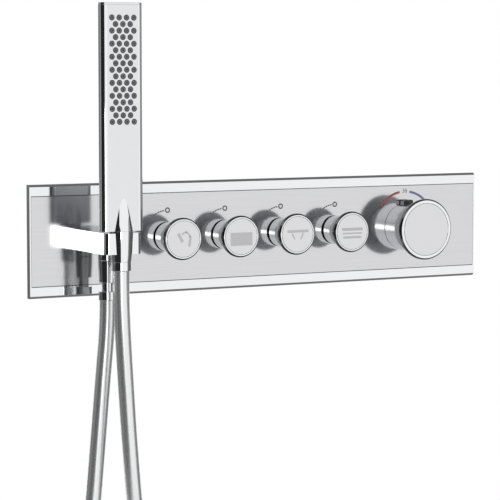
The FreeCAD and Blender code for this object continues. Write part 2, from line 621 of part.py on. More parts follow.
def outlet_knob(k):
    """One outlet: cartridge, spindle, spring, collar, knob and its brushed inset."""
    spot = (KNOB_X[k], MIDDLE)
    housing_r, bore = "seat_bore_r - slip", "spindle_r + running"
    floor = "-spindle_in - spindle_free"
    outline = [("0", "-seat_depth"), (housing_r, "-seat_depth"), (housing_r, "-housing_front"),
               ("cartridge_neck_r", "-housing_front"), ("cartridge_neck_r", "cartridge_neck_out"),
               (bore, "cartridge_neck_out"), (bore, floor), ("0", floor)]
    node(turned(f"cartridge_{k}_body", outline, "out", spot), f"outlet_cartridge_{k}")
    outline = [("0", "-spindle_in"), ("spindle_r", "-spindle_in"), ("spindle_r", "spindle_out"),
               ("0", "spindle_out")]
    node(turned(f"spindle_{k}_body", outline, "out", spot), f"flow_spindle_{k}")
    coil_in = "spindle_r + slip"
    node(tube(f"spring_{k}_body", f"{coil_in} + spring_wall", coil_in, ("cartridge_neck_out", "hub_end"),
              "out", spot), f"return_spring_{k}")
    step = "front + collar_gap"
    outline = [("collar_bore", "-nut_front"), ("collar_foot_r", "-nut_front"), ("collar_foot_r", step),
               ("collar_r", step), ("collar_r", "collar_end"), ("collar_bore", "collar_end")]
    node(turned(f"collar_{k}_body", outline, "out", spot), f"knob_collar_{k}")
    face, recess = "disc_front", "disc_front - inset_thick"
    neck_in = "collar_end - neck_engage"
    outline = [("0", recess), ("inset_r", recess), ("inset_r", face), ("knob_r - rim_bevel", face),
               ("knob_r", f"{face} - rim_bevel"), ("knob_r", "disc_back"), ("neck_r", "disc_back"),
               ("neck_r", neck_in), ("neck_bore", neck_in), ("neck_bore", "disc_back"),
               ("hub_r", "disc_back"), ("hub_r", "hub_end"), (bore, "hub_end"), (bore, "disc_back"),
               ("0", "disc_back")]
    node(turned(f"knob_{k}_body", outline, "out", spot), f"knob_{k}")
    outline = [("0", recess), ("inset_r - running", recess), ("inset_r - running", face), ("0", face)]
    node(turned(f"inset_{k}_body", outline, "out", spot), f"knob_inset_{k}")


def cartridge_nuts():
    """The ring nuts that hold the outlet cartridges down."""
    nuts = [tube(f"nut_{k}", "seat_bore_r - thread_gap", "cartridge_neck_r + thread_gap",
                 ("-housing_front", "-nut_front"), "out", (KNOB_X[k], MIDDLE)) for k in KNOBS]
    node(group("nuts", nuts), "cartridge_nuts")


# Thermostat and temperature knob

def temperature_knob():
    """The thermostat with its stop ring, and the knob with skirt, inset and safety button."""
    spot = ("temp_x", MIDDLE)
    housing_r, bore = "thermo_bore_r - slip", "thermo_spindle_r + running"
    floor = "-thermo_spindle_in - spindle_free"
    outline = [("0", "-thermo_depth"), (housing_r, "-thermo_depth"), (housing_r, "-thermo_front"),
               ("thermo_neck_r", "-thermo_front"), ("thermo_neck_r", "thermo_neck_out"),
               (bore, "thermo_neck_out"), (bore, floor), ("0", floor)]
    node(turned("thermostat_body", outline, "out", spot), "thermostat_cartridge")
    node(tube("stop_ring_body", "stop_ring_r", "thermo_neck_r + thread_gap",
              ("stop_ring_in", "stop_ring_in + stop_ring_h"), "out", spot), "stop_ring")
    outline = [("0", "-thermo_spindle_in"), ("thermo_spindle_r", "-thermo_spindle_in"),
               ("thermo_spindle_r", "thermo_spindle_out"), ("0", "thermo_spindle_out")]
    node(turned("thermo_spindle_body", outline, "out", spot), "thermostat_spindle")
    web, hub_bore = "skirt_end - skirt_web", "temp_hub_r + thread_gap"
    outline = [("skirt_bore", "skirt_in"), ("skirt_r", "skirt_in"), ("skirt_r", "skirt_end"),
               (hub_bore, "skirt_end"), (hub_bore, web), ("skirt_bore", web)]
    wide = ("temp_x - button_width / 2", "temp_x + button_width / 2")
    slot = block("button_slot", (f"{wide[0]} - slip", f"{wide[1]} + slip"),
                 ("-button_end - slip", "-front"), (MIDDLE, f"skirt_r + {OVERCUT}"))
    node(cut("skirt", turned("skirt_body", outline, "out", spot), [slot]), "temperature_skirt")
    face, recess = "temp_front", "temp_front - inset_thick"
    outline = [("0", recess), ("temp_inset_r", recess), ("temp_inset_r", face), ("temp_r - rim_bevel", face),
               ("temp_r", f"{face} - rim_bevel"), ("temp_r", "temp_back"), ("temp_neck_r", "temp_back"),
               ("temp_neck_r", "skirt_end"), ("temp_hub_r", "skirt_end"), ("temp_hub_r", "temp_hub_in"),
               (bore, "temp_hub_in"), (bore, "thermo_spindle_out"), ("0", "thermo_spindle_out")]
    node(turned("temperature_body", outline, "out", spot), "temperature_knob")
    edge = "temp_inset_r - running"
    outline = [("0", recess), (edge, recess), (edge, face), ("0", face)]
    node(turned("temperature_inset_body", outline, "out", spot), "temperature_inset")
    deep = ("-button_end", "-button_in")
    cap = block("button_cap", wide, deep, ("button_lip_low", "button_top"))
    lip = block("button_lip_plate", (f"{wide[0]} - button_lip", f"{wide[1]} + button_lip"), deep,
                ("button_lip_low", "button_lip_top"))
    node(joined("button", [cap, lip]), "stop_button")
    spring = rod("button_spring", "button_spring_r", ("temp_hub_r + slip", "button_lip_low"), "up",
                 ("temp_x", "-(button_in + button_end) / 2"))
    node(spring, "stop_button_spring")


# Holder arm and hose outlet

def holder_arm():
    """The arm with its conical seat, the feed pipe, the locking screw and the hose outlet."""
    side = ("-arm_x - arm_width / 2", "-arm_x + arm_width / 2")
    spans = {"x": side, "y": ("-arm_end", "-front - arm_round"), "z": ("-arm_bottom", "arm_top")}
    front_part = rounded("arm_front", spans, "arm_round", "up")
    root = block("arm_root", side, ("-arm_end + 2 * arm_round", "-front"), ("-arm_bottom", "arm_top"))
    slope = "(cone_top_r - cone_low_r) / (arm_top + arm_bottom)"
    seat = taper("arm_seat", f"cone_low_r + seat_gap - {slope} * {OVERCUT}",
                 f"cone_top_r + seat_gap + {slope} * {OVERCUT}",
                 (f"-arm_bottom - {OVERCUT}", f"arm_top + {OVERCUT}"), (ARM_X, "-seat"))
    pipe = rod("arm_pipe_bore", "pipe_r + thread_gap", ("0", "pipe_end"), "out", (ARM_X, "arm_mid"))
    duct = rod("arm_duct", "pipe_bore", ("0", "outlet"), "out", (ARM_X, "arm_mid"))
    drop = rod("arm_drop", "duct_r", (f"-arm_bottom - {OVERCUT}", "arm_mid"), "up", (ARM_X, "-outlet"))
    lock_spot = (ARM_X, "-front - lock_out")
    lock = rod("arm_lock_bore", "lock_r + thread_gap", (f"-arm_bottom - {OVERCUT}", "arm_mid"),
               "up", lock_spot)
    node(cut("arm", joined("arm_blank", [front_part, root]), [seat, pipe, duct, drop, lock]), "holder_arm")
    node(tube("pipe", "pipe_r", "pipe_bore", ("-pipe_in", "pipe_end"), "out", (ARM_X, "arm_mid")),
         "feed_pipe")
    screw = rod("lock", "lock_r", ("-arm_bottom", "arm_mid - pipe_r - thread_gap"), "up", lock_spot)
    node(screw, "arm_locking_screw")
    thread_r = "duct_r - thread_gap"
    outline = [("hose_bore_r", "tail_top"), ("nipple_r", "tail_top"), ("nipple_r", "sleeve_top"),
               ("nipple_head_r", "sleeve_top"), ("nipple_head_r", "nipple_top"), (thread_r, "nipple_top"),
               (thread_r, "nipple_top + nipple_spigot"), ("hose_bore_r", "nipple_top + nipple_spigot")]
    node(turned("nipple", outline, "up", (ARM_X, "-outlet")), "outlet_nipple")
    node(tube("tail", "tail_r", "hose_bore_r", ("tail_end", "tail_top"), "up", (ARM_X, "-outlet")),
         "outlet_ferrule")


# Hose

def hose_path(points, share):
    """Join the route's runs with arcs as large as the runs allow.

    Args:
        points: the route's points as vectors.
        share: the part of the shorter run that an arc takes up on each side.

    Returns:
        The path's edges in order, and the arcs' radii.
    """
    edges, radii = [], []
    start = points[0]
    for before, corner, after in zip(points, points[1:], points[2:]):
        back, ahead = before - corner, after - corner
        reach = share * min(back.Length, ahead.Length)
        enter = corner + FreeCAD.Vector(back).normalize() * reach
        leave = corner + FreeCAD.Vector(ahead).normalize() * reach
        half_turn = (math.pi - back.getAngle(ahead)) / 2
        radius = reach / math.tan(half_turn)
        towards = (FreeCAD.Vector(back).normalize() + FreeCAD.Vector(ahead).normalize()).normalize()
        centre = corner + towards * (radius / math.cos(half_turn))
        edges.append(Part.LineSegment(start, enter))
        edges.append(Part.Arc(enter, centre - towards * radius, leave))
        radii.append(radius)
        start = leave
    edges.append(Part.LineSegment(start, points[-1]))
    return [edge.toShape() for edge in edges], radii


def hose():
    """The smooth hose, swept along its route."""
    middle = size("knob_first_x") + size("arm_pitch")
    points = [FreeCAD.Vector(x - middle, -out, z) for x, out, z in HOSE_ROUTE]
    edges, radii = hose_path(points, BEND_SHARE)
    path = Part.Wire(edges)
    radius = size("hose_r")
    section = Part.Wire(Part.makeCircle(radius, points[0], points[1] - points[0]))
    item = doc.addObject("Part::Feature", "hose_body")
    item.Shape = path.makePipeShell([section], True, False)
    ideal = math.pi * radius ** 2 * path.Length
    print(f"hose: {path.Length:.1f} mm, volume {item.Shape.Volume / ideal:.4f} of section times length")
    print("hose radii:", " ".join(f"{value:.0f}" for value in radii))
    node(item, "hose")


# Hand shower and the hose's upper end

def round_sided(name, inset, span):
    """Make a length of the stick's section, with half-round sides, set in from its surface."""
    thick = f"(stick_thick / 2 - {inset})"
    core = block(f"{name}_core", ("-arm_x - stick_flat", "-arm_x + stick_flat"),
                 (f"-seat - {thick}", f"-seat + {thick}"), span)
    left = rod(f"{name}_left", thick, span, "up", ("-arm_x - stick_flat", "-seat"))
    right = rod(f"{name}_right", thick, span, "up", ("-arm_x + stick_flat", "-seat"))
    return joined(name, [core, left, right])


def hand_shower():
    """The stick with its end cap, nozzle mat and waterway."""
    blank = round_sided("stick_blank", "0", ("stick_bottom", "cap_bottom"))
    nib = taper("nib", "nib_r", "nib_end_r", ("stick_bottom", "stick_bottom + nib_height"),
                (ARM_X, "-seat"))
    cavity = round_sided("stick_cavity", "stick_wall", ("cavity_floor", f"cap_bottom + {OVERCUT}"))
    stem_top = "cavity_floor + spigot_r"
    spigot_bore = rod("stick_spigot_bore", "spigot_r + slip",
                      (f"stick_bottom - {OVERCUT}", f"{stem_top} + slip"), "up", (ARM_X, "-seat"))
    face = "(seat + stick_thick / 2)"
    mat_out, mat_in = f"({face} - stick_wall)", f"({face} - stick_wall - mat_thick)"
    holes, nozzles = [], []
    for row in range(int(size("nozzle_rows"))):
        count = int(size("nozzle_most")) - row % 2
        height = f"(stick_top - nozzle_first - {row} * nozzle_pitch_z)"
        for column in range(count):
            spot = (f"(-arm_x + {column - (count - 1) / 2} * nozzle_pitch_x)", height)
            holes.append(rod(f"nozzle_hole_{row}_{column}", "nozzle_hole_r", (mat_in, f"{face} + {OVERCUT}"),
                             "out", spot))
            nozzles.append(rod(f"nozzle_{row}_{column}", "nozzle_r", (mat_in, f"{face} + nozzle_proud"),
                               "out", spot))
    node(cut("stick", joined("stick_full", [blank, nib]), [cavity, spigot_bore] + holes), "hand_shower_shell")
    field_low = "(stick_top - nozzle_first - (nozzle_rows - 1) * nozzle_pitch_z - mat_margin)"
    field_high = "(stick_top - nozzle_first + mat_margin)"
    mat_half = "(stick_flat - slip)"
    mat = block("mat_sheet", (f"-arm_x - {mat_half}", f"-arm_x + {mat_half}"), (f"-{mat_out}", f"-{mat_in}"),
                (field_low, field_high))
    node(joined("mat", [mat] + nozzles), "nozzle_mat")
    duct = block("waterway_duct", ("-arm_x - waterway_width / 2", "-arm_x + waterway_width / 2"),
                 (f"-{mat_in}", f"-{mat_in} + waterway_thick"), ("cavity_floor", field_high))
    stem = rod("waterway_stem", "spigot_r", ("spigot_end", stem_top), "up", (ARM_X, "-seat"))
    stem_bore = rod("waterway_bore", "hose_bore_r", (f"spigot_end - {OVERCUT}", f"{stem_top} + hose_bore_r"),
                    "up", (ARM_X, "-seat"))
    node(cut("waterway", joined("waterway_blank", [duct, stem]), [stem_bore]), "hand_shower_waterway")
    node(round_sided("end_cap", "0", ("cap_bottom", "stick_top")), "hand_shower_end_cap")


def hose_cone():
    """The cone nut that seats in the arm, its washer and the hose's ferrule."""
    spot = (ARM_X, "-seat")
    bore = "spigot_r + slip"
    outline = [("hose_bore_r", "cone_end"), ("cone_end_r", "cone_end"), ("cone_low_r", "-arm_bottom"),
               ("cone_top_r", "stick_bottom"), (bore, "stick_bottom"), (bore, "washer_end"),
               ("hose_bore_r", "washer_end")]
    node(turned("cone", outline, "up", spot), "hose_cone_nut")
    node(tube("washer", "spigot_r", "hose_bore_r", ("washer_end", "spigot_end"), "up", spot), "hose_washer")
    node(tube("ferrule", "ferrule_r", "hose_bore_r", ("ferrule_end", "cone_end"), "up", spot), "hose_ferrule")


cover_plate()
gasket()
carrier()
valve_body()
inlets()
for number in KNOBS:
    outlet_knob(number)
cartridge_nuts()
temperature_knob()
holder_arm()
hose()
hand_shower()
hose_cone()
doc.recompute()

failed = [item.Name for item in doc.Objects if {"Invalid", "Error"} & set(item.State)]
failed += [item.Label for item in nodes if item.Shape.isNull() or not item.Shape.isValid()]
if failed:
    raise RuntimeError(f"failed objects: {failed}")
os.makedirs("parts", exist_ok=True)
for item in nodes:
    solids = item.Shape.Solids
    shape = solids[0] if len(solids) == 1 else item.Shape
    shape.exportStep(f"parts/{item.Label}.step")
    print(f"{item.Label}: {len(solids)} solid(s), {item.Shape.Volume / 1000:.2f} cm3")
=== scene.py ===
"""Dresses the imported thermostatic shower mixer: detailed pieces, finishes, dial marks and a plain studio."""
import json
import logging
import math
from collections.abc import Callable, Iterator
from contextlib import contextmanager
from dataclasses import dataclass
from enum import Enum

import bmesh
import bpy
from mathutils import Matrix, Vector


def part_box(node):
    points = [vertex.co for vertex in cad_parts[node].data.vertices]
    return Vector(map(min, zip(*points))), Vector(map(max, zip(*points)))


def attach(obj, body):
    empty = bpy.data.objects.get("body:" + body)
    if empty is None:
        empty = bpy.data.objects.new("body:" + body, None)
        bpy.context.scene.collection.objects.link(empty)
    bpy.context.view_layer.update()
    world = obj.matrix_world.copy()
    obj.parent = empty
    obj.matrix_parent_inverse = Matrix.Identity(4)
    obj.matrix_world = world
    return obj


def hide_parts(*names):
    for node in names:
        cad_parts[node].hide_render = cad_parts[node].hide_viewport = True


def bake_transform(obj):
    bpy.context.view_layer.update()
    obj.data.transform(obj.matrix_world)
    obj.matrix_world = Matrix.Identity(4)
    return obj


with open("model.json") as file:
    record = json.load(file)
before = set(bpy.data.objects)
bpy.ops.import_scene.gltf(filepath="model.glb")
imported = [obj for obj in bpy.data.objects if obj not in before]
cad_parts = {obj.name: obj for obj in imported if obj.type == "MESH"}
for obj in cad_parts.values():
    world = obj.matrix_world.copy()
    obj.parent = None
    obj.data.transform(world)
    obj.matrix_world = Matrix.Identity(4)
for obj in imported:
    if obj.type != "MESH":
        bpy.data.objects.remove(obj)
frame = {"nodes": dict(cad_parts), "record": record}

LOG = logging.getLogger("shower_mixer")
MM = 0.001
KNOBS = (1, 2, 3, 4)
# Share of an axis in a normal or an edge, from along it to just past level with it
ALONG, MOSTLY, TOWARDS, PAST = 0.9, 0.7, 0.5, 0.3
# How near a point has to be to count as on a plane, and as the same point, in metres
NEAR, SAME = 1e-5, 1e-7
# How near a face has to be to count as on a surface, in millimetres
SKIN = 0.1
# Steps round a turned piece
COARSE, FINE, FINEST = 64, 96, 128
# Least angle that is shaded as an edge, on solid pieces and on prints, in degrees
EDGE_ANGLE, PRINT_ANGLE = 50.0, 40.0
# Least width of a rounding that has two faces across it, and three, in millimetres
TWO_FACES, THREE_FACES = 0.1, 0.3

Piece = bpy.types.Object
Triple = tuple[float, float, float]
Outline = list[tuple[float, float]]
Spots = list[tuple[float, float]]
Test = Callable[[Vector, Vector], bool]


class Part(Enum):
    """What an edit-mode selection is made of."""

    FACES = "FACE"
    EDGES = "EDGE"


class Join(Enum):
    """How a second solid changes a first one."""

    CUT = "DIFFERENCE"
    FUSE = "UNION"


class Axis(Enum):
    """The line that a turned piece is spun about."""

    OUT = (0.0, -1.0, 0.0)
    UP = (0.0, 0.0, 1.0)

    def at(self, middle: Vector, radius: float, along: float, turn: float = 0.0) -> Vector:
        """Place a point of an outline.

        Args:
            middle: A point of the axis, in metres.
            radius: Distance from the axis, in millimetres.
            along: Distance along the axis from the origin, in millimetres.
            turn: Angle in degrees, clockwise from the top, or from the right if the axis is vertical.

        Returns:
            The point in the row frame, in metres.
        """
        across = radius * MM
        angle = math.radians(turn)
        if self is Axis.UP:
            return Vector((middle.x + across * math.cos(angle), middle.y + across * math.sin(angle), along * MM))
        return Vector((middle.x + across * math.sin(angle), -along * MM, middle.z + across * math.cos(angle)))


class Grain(Enum):
    """The texture that carries a finish's pattern."""

    CLOUD = "ShaderNodeTexNoise"
    CELLS = "ShaderNodeTexVoronoi"


# Finishes

def linear(code: str, dim: float = 1.0) -> tuple[float, float, float, float]:
    """Turn an sRGB hex colour into linear light.

    Args:
        code: Colour such as "#d0d0d2".
        dim: Share of the light that is kept.

    Returns:
        Linear red, green, blue and an alpha of 1.
    """
    channels = [int(code[i:i + 2], 16) / 255 for i in (1, 3, 5)]
    light = [c / 12.92 if c <= 0.04045 else ((c + 0.055) / 1.055) ** 2.4 for c in channels]
    return (light[0] * dim, light[1] * dim, light[2] * dim, 1.0)


def add(tree: bpy.types.NodeTree, kind: str, inputs: dict, **settings: object) -> bpy.types.Node:
    """Add a node with its settings and links.

    Args:
        tree: Node tree that gets the node.
        kind: Blender's name for the node type.
        inputs: Value or source socket for each input, by name or number.
        **settings: Properties of the node.

    Returns:
        The new node.
    """
    node = tree.nodes.new(kind)
    for name, value in settings.items():
        setattr(node, name, value)
    for key, value in inputs.items():
        if isinstance(value, bpy.types.NodeSocket):
            tree.links.new(value, node.inputs[key])
        else:
            node.inputs[key].default_value = value
    return node


@dataclass(frozen=True)
class Finish:
    """A surface as it was made: its colour, its gloss and the pattern that the making left in it."""

    name: str
    colour: str
    roughness: float
    size_mm: float
    metallic: float = 1.0
    stretch: Triple = (1.0, 1.0, 1.0)
    grain: Grain = Grain.CLOUD
    tone: float = 0.04
    swing: float = 0.2
    relief_mm: float = 0.0
    coat: float = 0.0

    def material(self) -> bpy.types.Material:
        """Make the material once, and hand out the same one after that.

        Returns:
            The material.
        """
        made = bpy.data.materials.get(self.name)
        if made:
            return made
        made = bpy.data.materials.new(self.name)
        made.use_nodes = True
        tree = made.node_tree
        shader = tree.nodes["Principled BSDF"]
        scale = [1 / (self.size_mm * MM * share) for share in self.stretch]
        place = add(tree, "ShaderNodeTexCoord", {}).outputs["Object"]
        place = add(tree, "ShaderNodeMapping", {"Vector": place, "Scale": scale}).outputs["Vector"]
        pattern = add(tree, self.grain.value, {"Vector": place, "Scale": 1.0})
        height = pattern.outputs["Distance" if self.grain is Grain.CELLS else "Fac"]
        mix = add(tree, "ShaderNodeMix", {"Factor": height, "A": linear(self.colour, 1 - self.tone),
                                          "B": linear(self.colour, 1 + self.tone)}, data_type="RGBA")
        gloss = add(tree, "ShaderNodeMapRange", {"Value": height, "To Min": self.roughness * (1 - self.swing),
                                                 "To Max": self.roughness * (1 + self.swing)})
        tree.links.new(mix.outputs["Result"], shader.inputs["Base Color"])
        tree.links.new(gloss.outputs["Result"], shader.inputs["Roughness"])
        shader.inputs["Metallic"].default_value = self.metallic
        shader.inputs["Coat Weight"].default_value = self.coat
        if self.relief_mm:
            bump = add(tree, "ShaderNodeBump", {"Height": height, "Distance": self.relief_mm * MM, "Strength": 1.0})
            tree.links.new(bump.outputs["Normal"], shader.inputs["Normal"])
        return made


# Chrome plate on polished brass: a clear cool mirror with faint water marks
POLISHED_CHROME = Finish("polished_chrome_plate", "#eeeff0", 0.035, 9.0, tone=0.012, swing=0.6)
# On turned drums: a soft highlight along a greyer flank
TURNED_CHROME = Finish("turned_chrome_plate", "#d2d3d5", 0.2, 4.0, tone=0.015, swing=0.3)
# Painted shade: the same plate as a dull mid grey, on disc backs, the plate's ends and faces turned to the wall or
# far to the left
PAINTED_SHADE_CHROME = Finish("painted_shade_chrome_plate", "#b2b4b7", 0.4, 4.0, tone=0.04, swing=0.3)
# Deeper painted shade: the same plate darker still, in the panel's channel, on the discs' rims, the arm's top and
# bottom, the stick's foot and the nib's right side
DEEP_SHADE_CHROME = Finish("painted_deep_shade_chrome_plate", "#6e7073", 0.16, 3.0, tone=0.06, swing=0.3)
# Painted light in the shade behind the discs: a soft matt grey that mirrors nothing, on the knobs' necks, the
# collars' ends and the skirt's front
PAINTED_LIGHT_GREY = Finish("painted_light_grey_plate", "#c0c1c4", 0.5, 0.6, metallic=0.0, tone=0.04, relief_mm=0.004)
# Belt ground steel sheet: long lines over a half mirror, drawn at 0.7 mm where real ones are about 0.1 mm
BRUSHED_STEEL = Finish("brushed_steel_sheet", "#d6d6d8", 0.12, 0.7, stretch=(90.0, 1.0, 1.0), tone=0.05, swing=0.25,
                       relief_mm=0.0006)
# The same sheet in the knobs, ground with a finer belt
BRUSHED_INSET = Finish("brushed_steel_inset", "#dcdcde", 0.14, 0.6, stretch=(40.0, 1.0, 1.0), tone=0.03, swing=0.25,
                       relief_mm=0.0006)
# Satin chrome on the ABS stick: a soft, pale mirror
SATIN_CHROME = Finish("satin_chrome_plate", "#e3e4e6", 0.09, 6.0, tone=0.012, swing=0.3)
# PVC hose with silver foil under a clear skin: soft streaks and a wide gloss
SILVER_HOSE = Finish("silver_pvc_hose", "#ecedee", 0.26, 2.0, stretch=(1.0, 1.0, 12.0), metallic=0.85, tone=0.05,
                     coat=0.3)
# Moulded silicone: dull grey rubber with a fine grit
GREY_SILICONE = Finish("moulded_grey_silicone", "#5e5f62", 0.55, 0.5, metallic=0.0, tone=0.08, relief_mm=0.01)
# Etched mark on an inset: duller and darker than the sheet
ETCHED_MARK = Finish("etched_mark", "#c4c4c6", 0.4, 0.4, tone=0.06)
# Screen printed inks: even and half matt
RED_INK = Finish("red_ink", "#a2504c", 0.45, 0.5, metallic=0.0, tone=0.05)
BLUE_INK = Finish("blue_ink", "#7274a6", 0.45, 0.5, metallic=0.0, tone=0.05)
GREY_INK = Finish("grey_ink", "#6c6d70", 0.45, 0.5, metallic=0.0, tone=0.05)
# Cast brass, shot blasted: warm and dull, with a pitted skin
CAST_BRASS = Finish("shot_blasted_brass", "#b08d4f", 0.48, 0.9, tone=0.14, relief_mm=0.06)
# Turned brass: brighter, with the tool's fine marks
TURNED_BRASS = Finish("lathe_turned_brass", "#c8a55c", 0.28, 0.6, stretch=(6.0, 1.0, 6.0), tone=0.07, relief_mm=0.01)
# Zinc plated steel: blue grey, with the spangle of the bath
ZINC_STEEL = Finish("zinc_plated_sheet", "#a9adb1", 0.36, 5.0, grain=Grain.CELLS, tone=0.12, swing=0.3)
# Drawn spring wire: dark, with lines along it
SPRING_STEEL = Finish("drawn_spring_wire", "#8a8b8d", 0.32, 0.8, stretch=(1.0, 0.4, 1.0), tone=0.12, relief_mm=0.03)
# Closed-cell foam: black and matt, with open pores on its cut edge
BLACK_FOAM = Finish("closed_cell_foam", "#1d1d1e", 0.9, 0.8, metallic=0.0, grain=Grain.CELLS, tone=0.3, relief_mm=0.1)
# Moulded rubber: black, with a slight bloom
BLACK_RUBBER = Finish("moulded_black_rubber", "#17181a", 0.6, 1.2, metallic=0.0, tone=0.2, relief_mm=0.01)
# Moulded ABS: black, with the clear gloss of a polished mould and faint flow marks
BLACK_ABS = Finish("glossy_black_abs", "#1f2022", 0.16, 2.5, metallic=0.0, tone=0.15, swing=0.3)
# Moulded acetal: milky white, with a waxy gloss
WHITE_ACETAL = Finish("moulded_white_acetal", "#e8e7e2", 0.35, 3.0, metallic=0.0, tone=0.025, relief_mm=0.008)
# Painted studio floor: pale and matt
PALE_FLOOR = Finish("pale_floor", "#f4f4f4", 0.9, 40.0, metallic=0.0, tone=0.01)

SLOT_FINISHES = {
    "polished_chrome": POLISHED_CHROME, "brushed_chrome": BRUSHED_STEEL, "satin_chrome": SATIN_CHROME,
    "black_abs": BLACK_ABS, "cast_brass": CAST_BRASS, "turned_brass": TURNED_BRASS,
    "zinc_plated_steel": ZINC_STEEL, "spring_steel": SPRING_STEEL, "black_foam": BLACK_FOAM,
    "black_rubber": BLACK_RUBBER, "grey_silicone": GREY_SILICONE, "white_acetal": WHITE_ACETAL,
    "silver_hose": SILVER_HOSE,
}


# Modelling by hand

def deselect() -> None:
    """Clear the selection, so that an operator acts on the next piece alone."""
    bpy.ops.object.select_all(action="DESELECT")


def only(obj: Piece) -> None:
    """Select one object alone and make it active.

    Args:
        obj: Object to select.
    """
    deselect()
    obj.select_set(True)
    bpy.context.view_layer.objects.active = obj


def settle(name: str) -> Piece:
    """Name the active object and move its place, turn and size into its mesh.

    Args:
        name: Name of the object and its mesh.

    Returns:
        The object.
    """
    obj = bpy.context.object
    obj.name = name
    obj.data.name = name
    bpy.ops.object.transform_apply(location=True, rotation=True, scale=True)
    return obj


@contextmanager
def editing(obj: Piece) -> Iterator[None]:
    """Open a mesh in edit mode, and leave edit mode at the end.

    Args:
        obj: Object with the mesh.
    """
    only(obj)
    bpy.ops.object.mode_set(mode="EDIT")
    yield
    bpy.ops.object.mode_set(mode="OBJECT")


def pick(obj: Piece, part: Part, test: Test) -> None:
    """Select faces or edges of the mesh in edit mode.

    Args:
        obj: Object in edit mode.
        part: What is selected.
        test: Says yes or no from a face's middle and normal, or from an edge's middle and direction.
    """
    bpy.ops.mesh.select_mode(type=part.value)
    bpy.ops.mesh.select_all(action="DESELECT")
    mesh = bmesh.from_edit_mesh(obj.data)
    for item in mesh.faces if part is Part.FACES else mesh.edges:
        ends = [v.co for v in item.verts]
        middle = sum(ends, Vector()) / len(ends)
        line = item.normal if part is Part.FACES else (ends[1] - ends[0]).normalized()
        if test(middle, line):
            item.select_set(True)
    bmesh.update_edit_mesh(obj.data)


def block(name: str, low: Vector, high: Vector) -> Piece:
    """Add a block between two corners.

    Args:
        name: Name of the object.
        low: Lowest corner, in metres.
        high: Highest corner, in metres.

    Returns:
        The block, to be shaped further.
    """
    deselect()
    bpy.ops.mesh.primitive_cube_add(size=1.0, location=(low + high) / 2, scale=high - low)
    return settle(name)


def rod(name: str, radius: float, start: Vector, end: Vector, sides: int = COARSE) -> Piece:
    """Add a round bar between two points.

    Args:
        name: Name of the object.
        radius: Radius, in millimetres.
        start: Middle of one end, in metres.
        end: Middle of the other end, in metres.
        sides: Sides of the bar.

    Returns:
        The bar, used as a drill.
    """
    deselect()
    run = end - start
    bpy.ops.mesh.primitive_cylinder_add(vertices=sides, radius=radius * MM, depth=run.length,
                                        location=(start + end) / 2, rotation=run.to_track_quat("Z", "Y").to_euler())
    return settle(name)


def turned(name: str, outline: Outline, axis: Axis, middle: Vector, steps: int = FINE, start: float = 0.0,
           sweep: float = 360.0) -> Piece:
    """Draw an outline point by point and spin it about an axis.

    Args:
        name: Name of the object.
        outline: Radius and distance along the axis of each point, in millimetres, closed if it's off the axis.
        axis: Direction of the axis.
        middle: A point of the axis, in metres.
        steps: Steps of the spin.
        start: Angle of the outline, in degrees.
        sweep: Angle of the spin, in degrees.

    Returns:
        The turned solid.
    """
    full = abs(sweep) >= 360
    on_axis = outline[0][0] == 0 and outline[-1][0] == 0
    points = [axis.at(middle, radius, along, start) for radius, along in outline]
    if not on_axis:
        points.append(points[0])
    deselect()
    bpy.ops.mesh.primitive_plane_add(size=MM)
    obj = settle(name)
    with editing(obj):
        bpy.ops.mesh.select_mode(type="VERT")
        bpy.ops.mesh.select_all(action="SELECT")
        bpy.ops.mesh.merge(type="CENTER")
        bpy.ops.transform.translate(value=points[0])
        for here, there in zip(points, points[1:]):
            bpy.ops.mesh.extrude_vertices_move(TRANSFORM_OT_translate={"value": there - here})
        bpy.ops.mesh.select_all(action="SELECT")
        bpy.ops.mesh.remove_doubles(threshold=SAME)
        if not full:
            bpy.ops.mesh.edge_face_add()
        bpy.ops.mesh.spin(steps=steps, angle=math.radians(sweep), center=middle, axis=axis.value)
        bpy.ops.mesh.select_all(action="SELECT")
        bpy.ops.mesh.remove_doubles(threshold=SAME)
        bpy.ops.mesh.normals_make_consistent(inside=False)
    return obj


def rounded(obj: Piece, test: Test, width: float, segments: int) -> Piece:
    """Round some edges of a piece.

    Args:
        obj: Piece to work on.
        test: Says yes or no from an edge's middle and direction.
        width: Width of the rounding, in millimetres.
        segments: Faces across it.

    Returns:
        The piece.
    """
    with editing(obj):
        pick(obj, Part.EDGES, test)
        bpy.ops.mesh.bevel(offset=width * MM, segments=segments, affect="EDGES")
    return obj


def modify(obj: Piece, kind: str, **settings: object) -> None:
    """Add a modifier to a piece and apply it.

    Args:
        obj: Piece that is changed.
        kind: Blender's name for the modifier type.
        **settings: Properties of the modifier.
    """
    only(obj)
    bpy.ops.object.modifier_add(type=kind)
    change = obj.modifiers[-1]
    for name, value in settings.items():
        setattr(change, name, value)
    bpy.ops.object.modifier_apply(modifier=change.name)


def combine(obj: Piece, how: Join, tool: Piece) -> None:
    """Cut a solid with another one, or fuse them, and use the other one up.

    Args:
        obj: Solid that is kept.
        how: Whether it is cut or fused.
        tool: The other solid.
    """
    modify(obj, "BOOLEAN", operation=how.value, solver="EXACT", object=tool)
    bpy.data.objects.remove(tool)


def gathered(name: str, items: list[Piece]) -> Piece:
    """Make one object of several.

    Args:
        name: Name of the new object.
        items: Objects that go into it.

    Returns:
        The new object.
    """
    only(items[0])
    for item in items:
        item.select_set(True)
    if len(items) > 1:
        bpy.ops.object.join()
    return settle(name)


def repeated(first: Piece, spots: Spots) -> list[Piece]:
    """Copy a modelled piece, each time with a mesh of its own, from the first of several places to the others.

    Args:
        first: Piece at the first place.
        spots: The places, across and up, in metres.

    Returns:
        The piece and its copies.
    """
    pieces = [first]
    for x, z in spots[1:]:
        only(first)
        bpy.ops.object.duplicate(linked=False)
        bpy.ops.transform.translate(value=(x - spots[0][0], 0, z - spots[0][1]))
        pieces.append(settle(first.name))
    return pieces


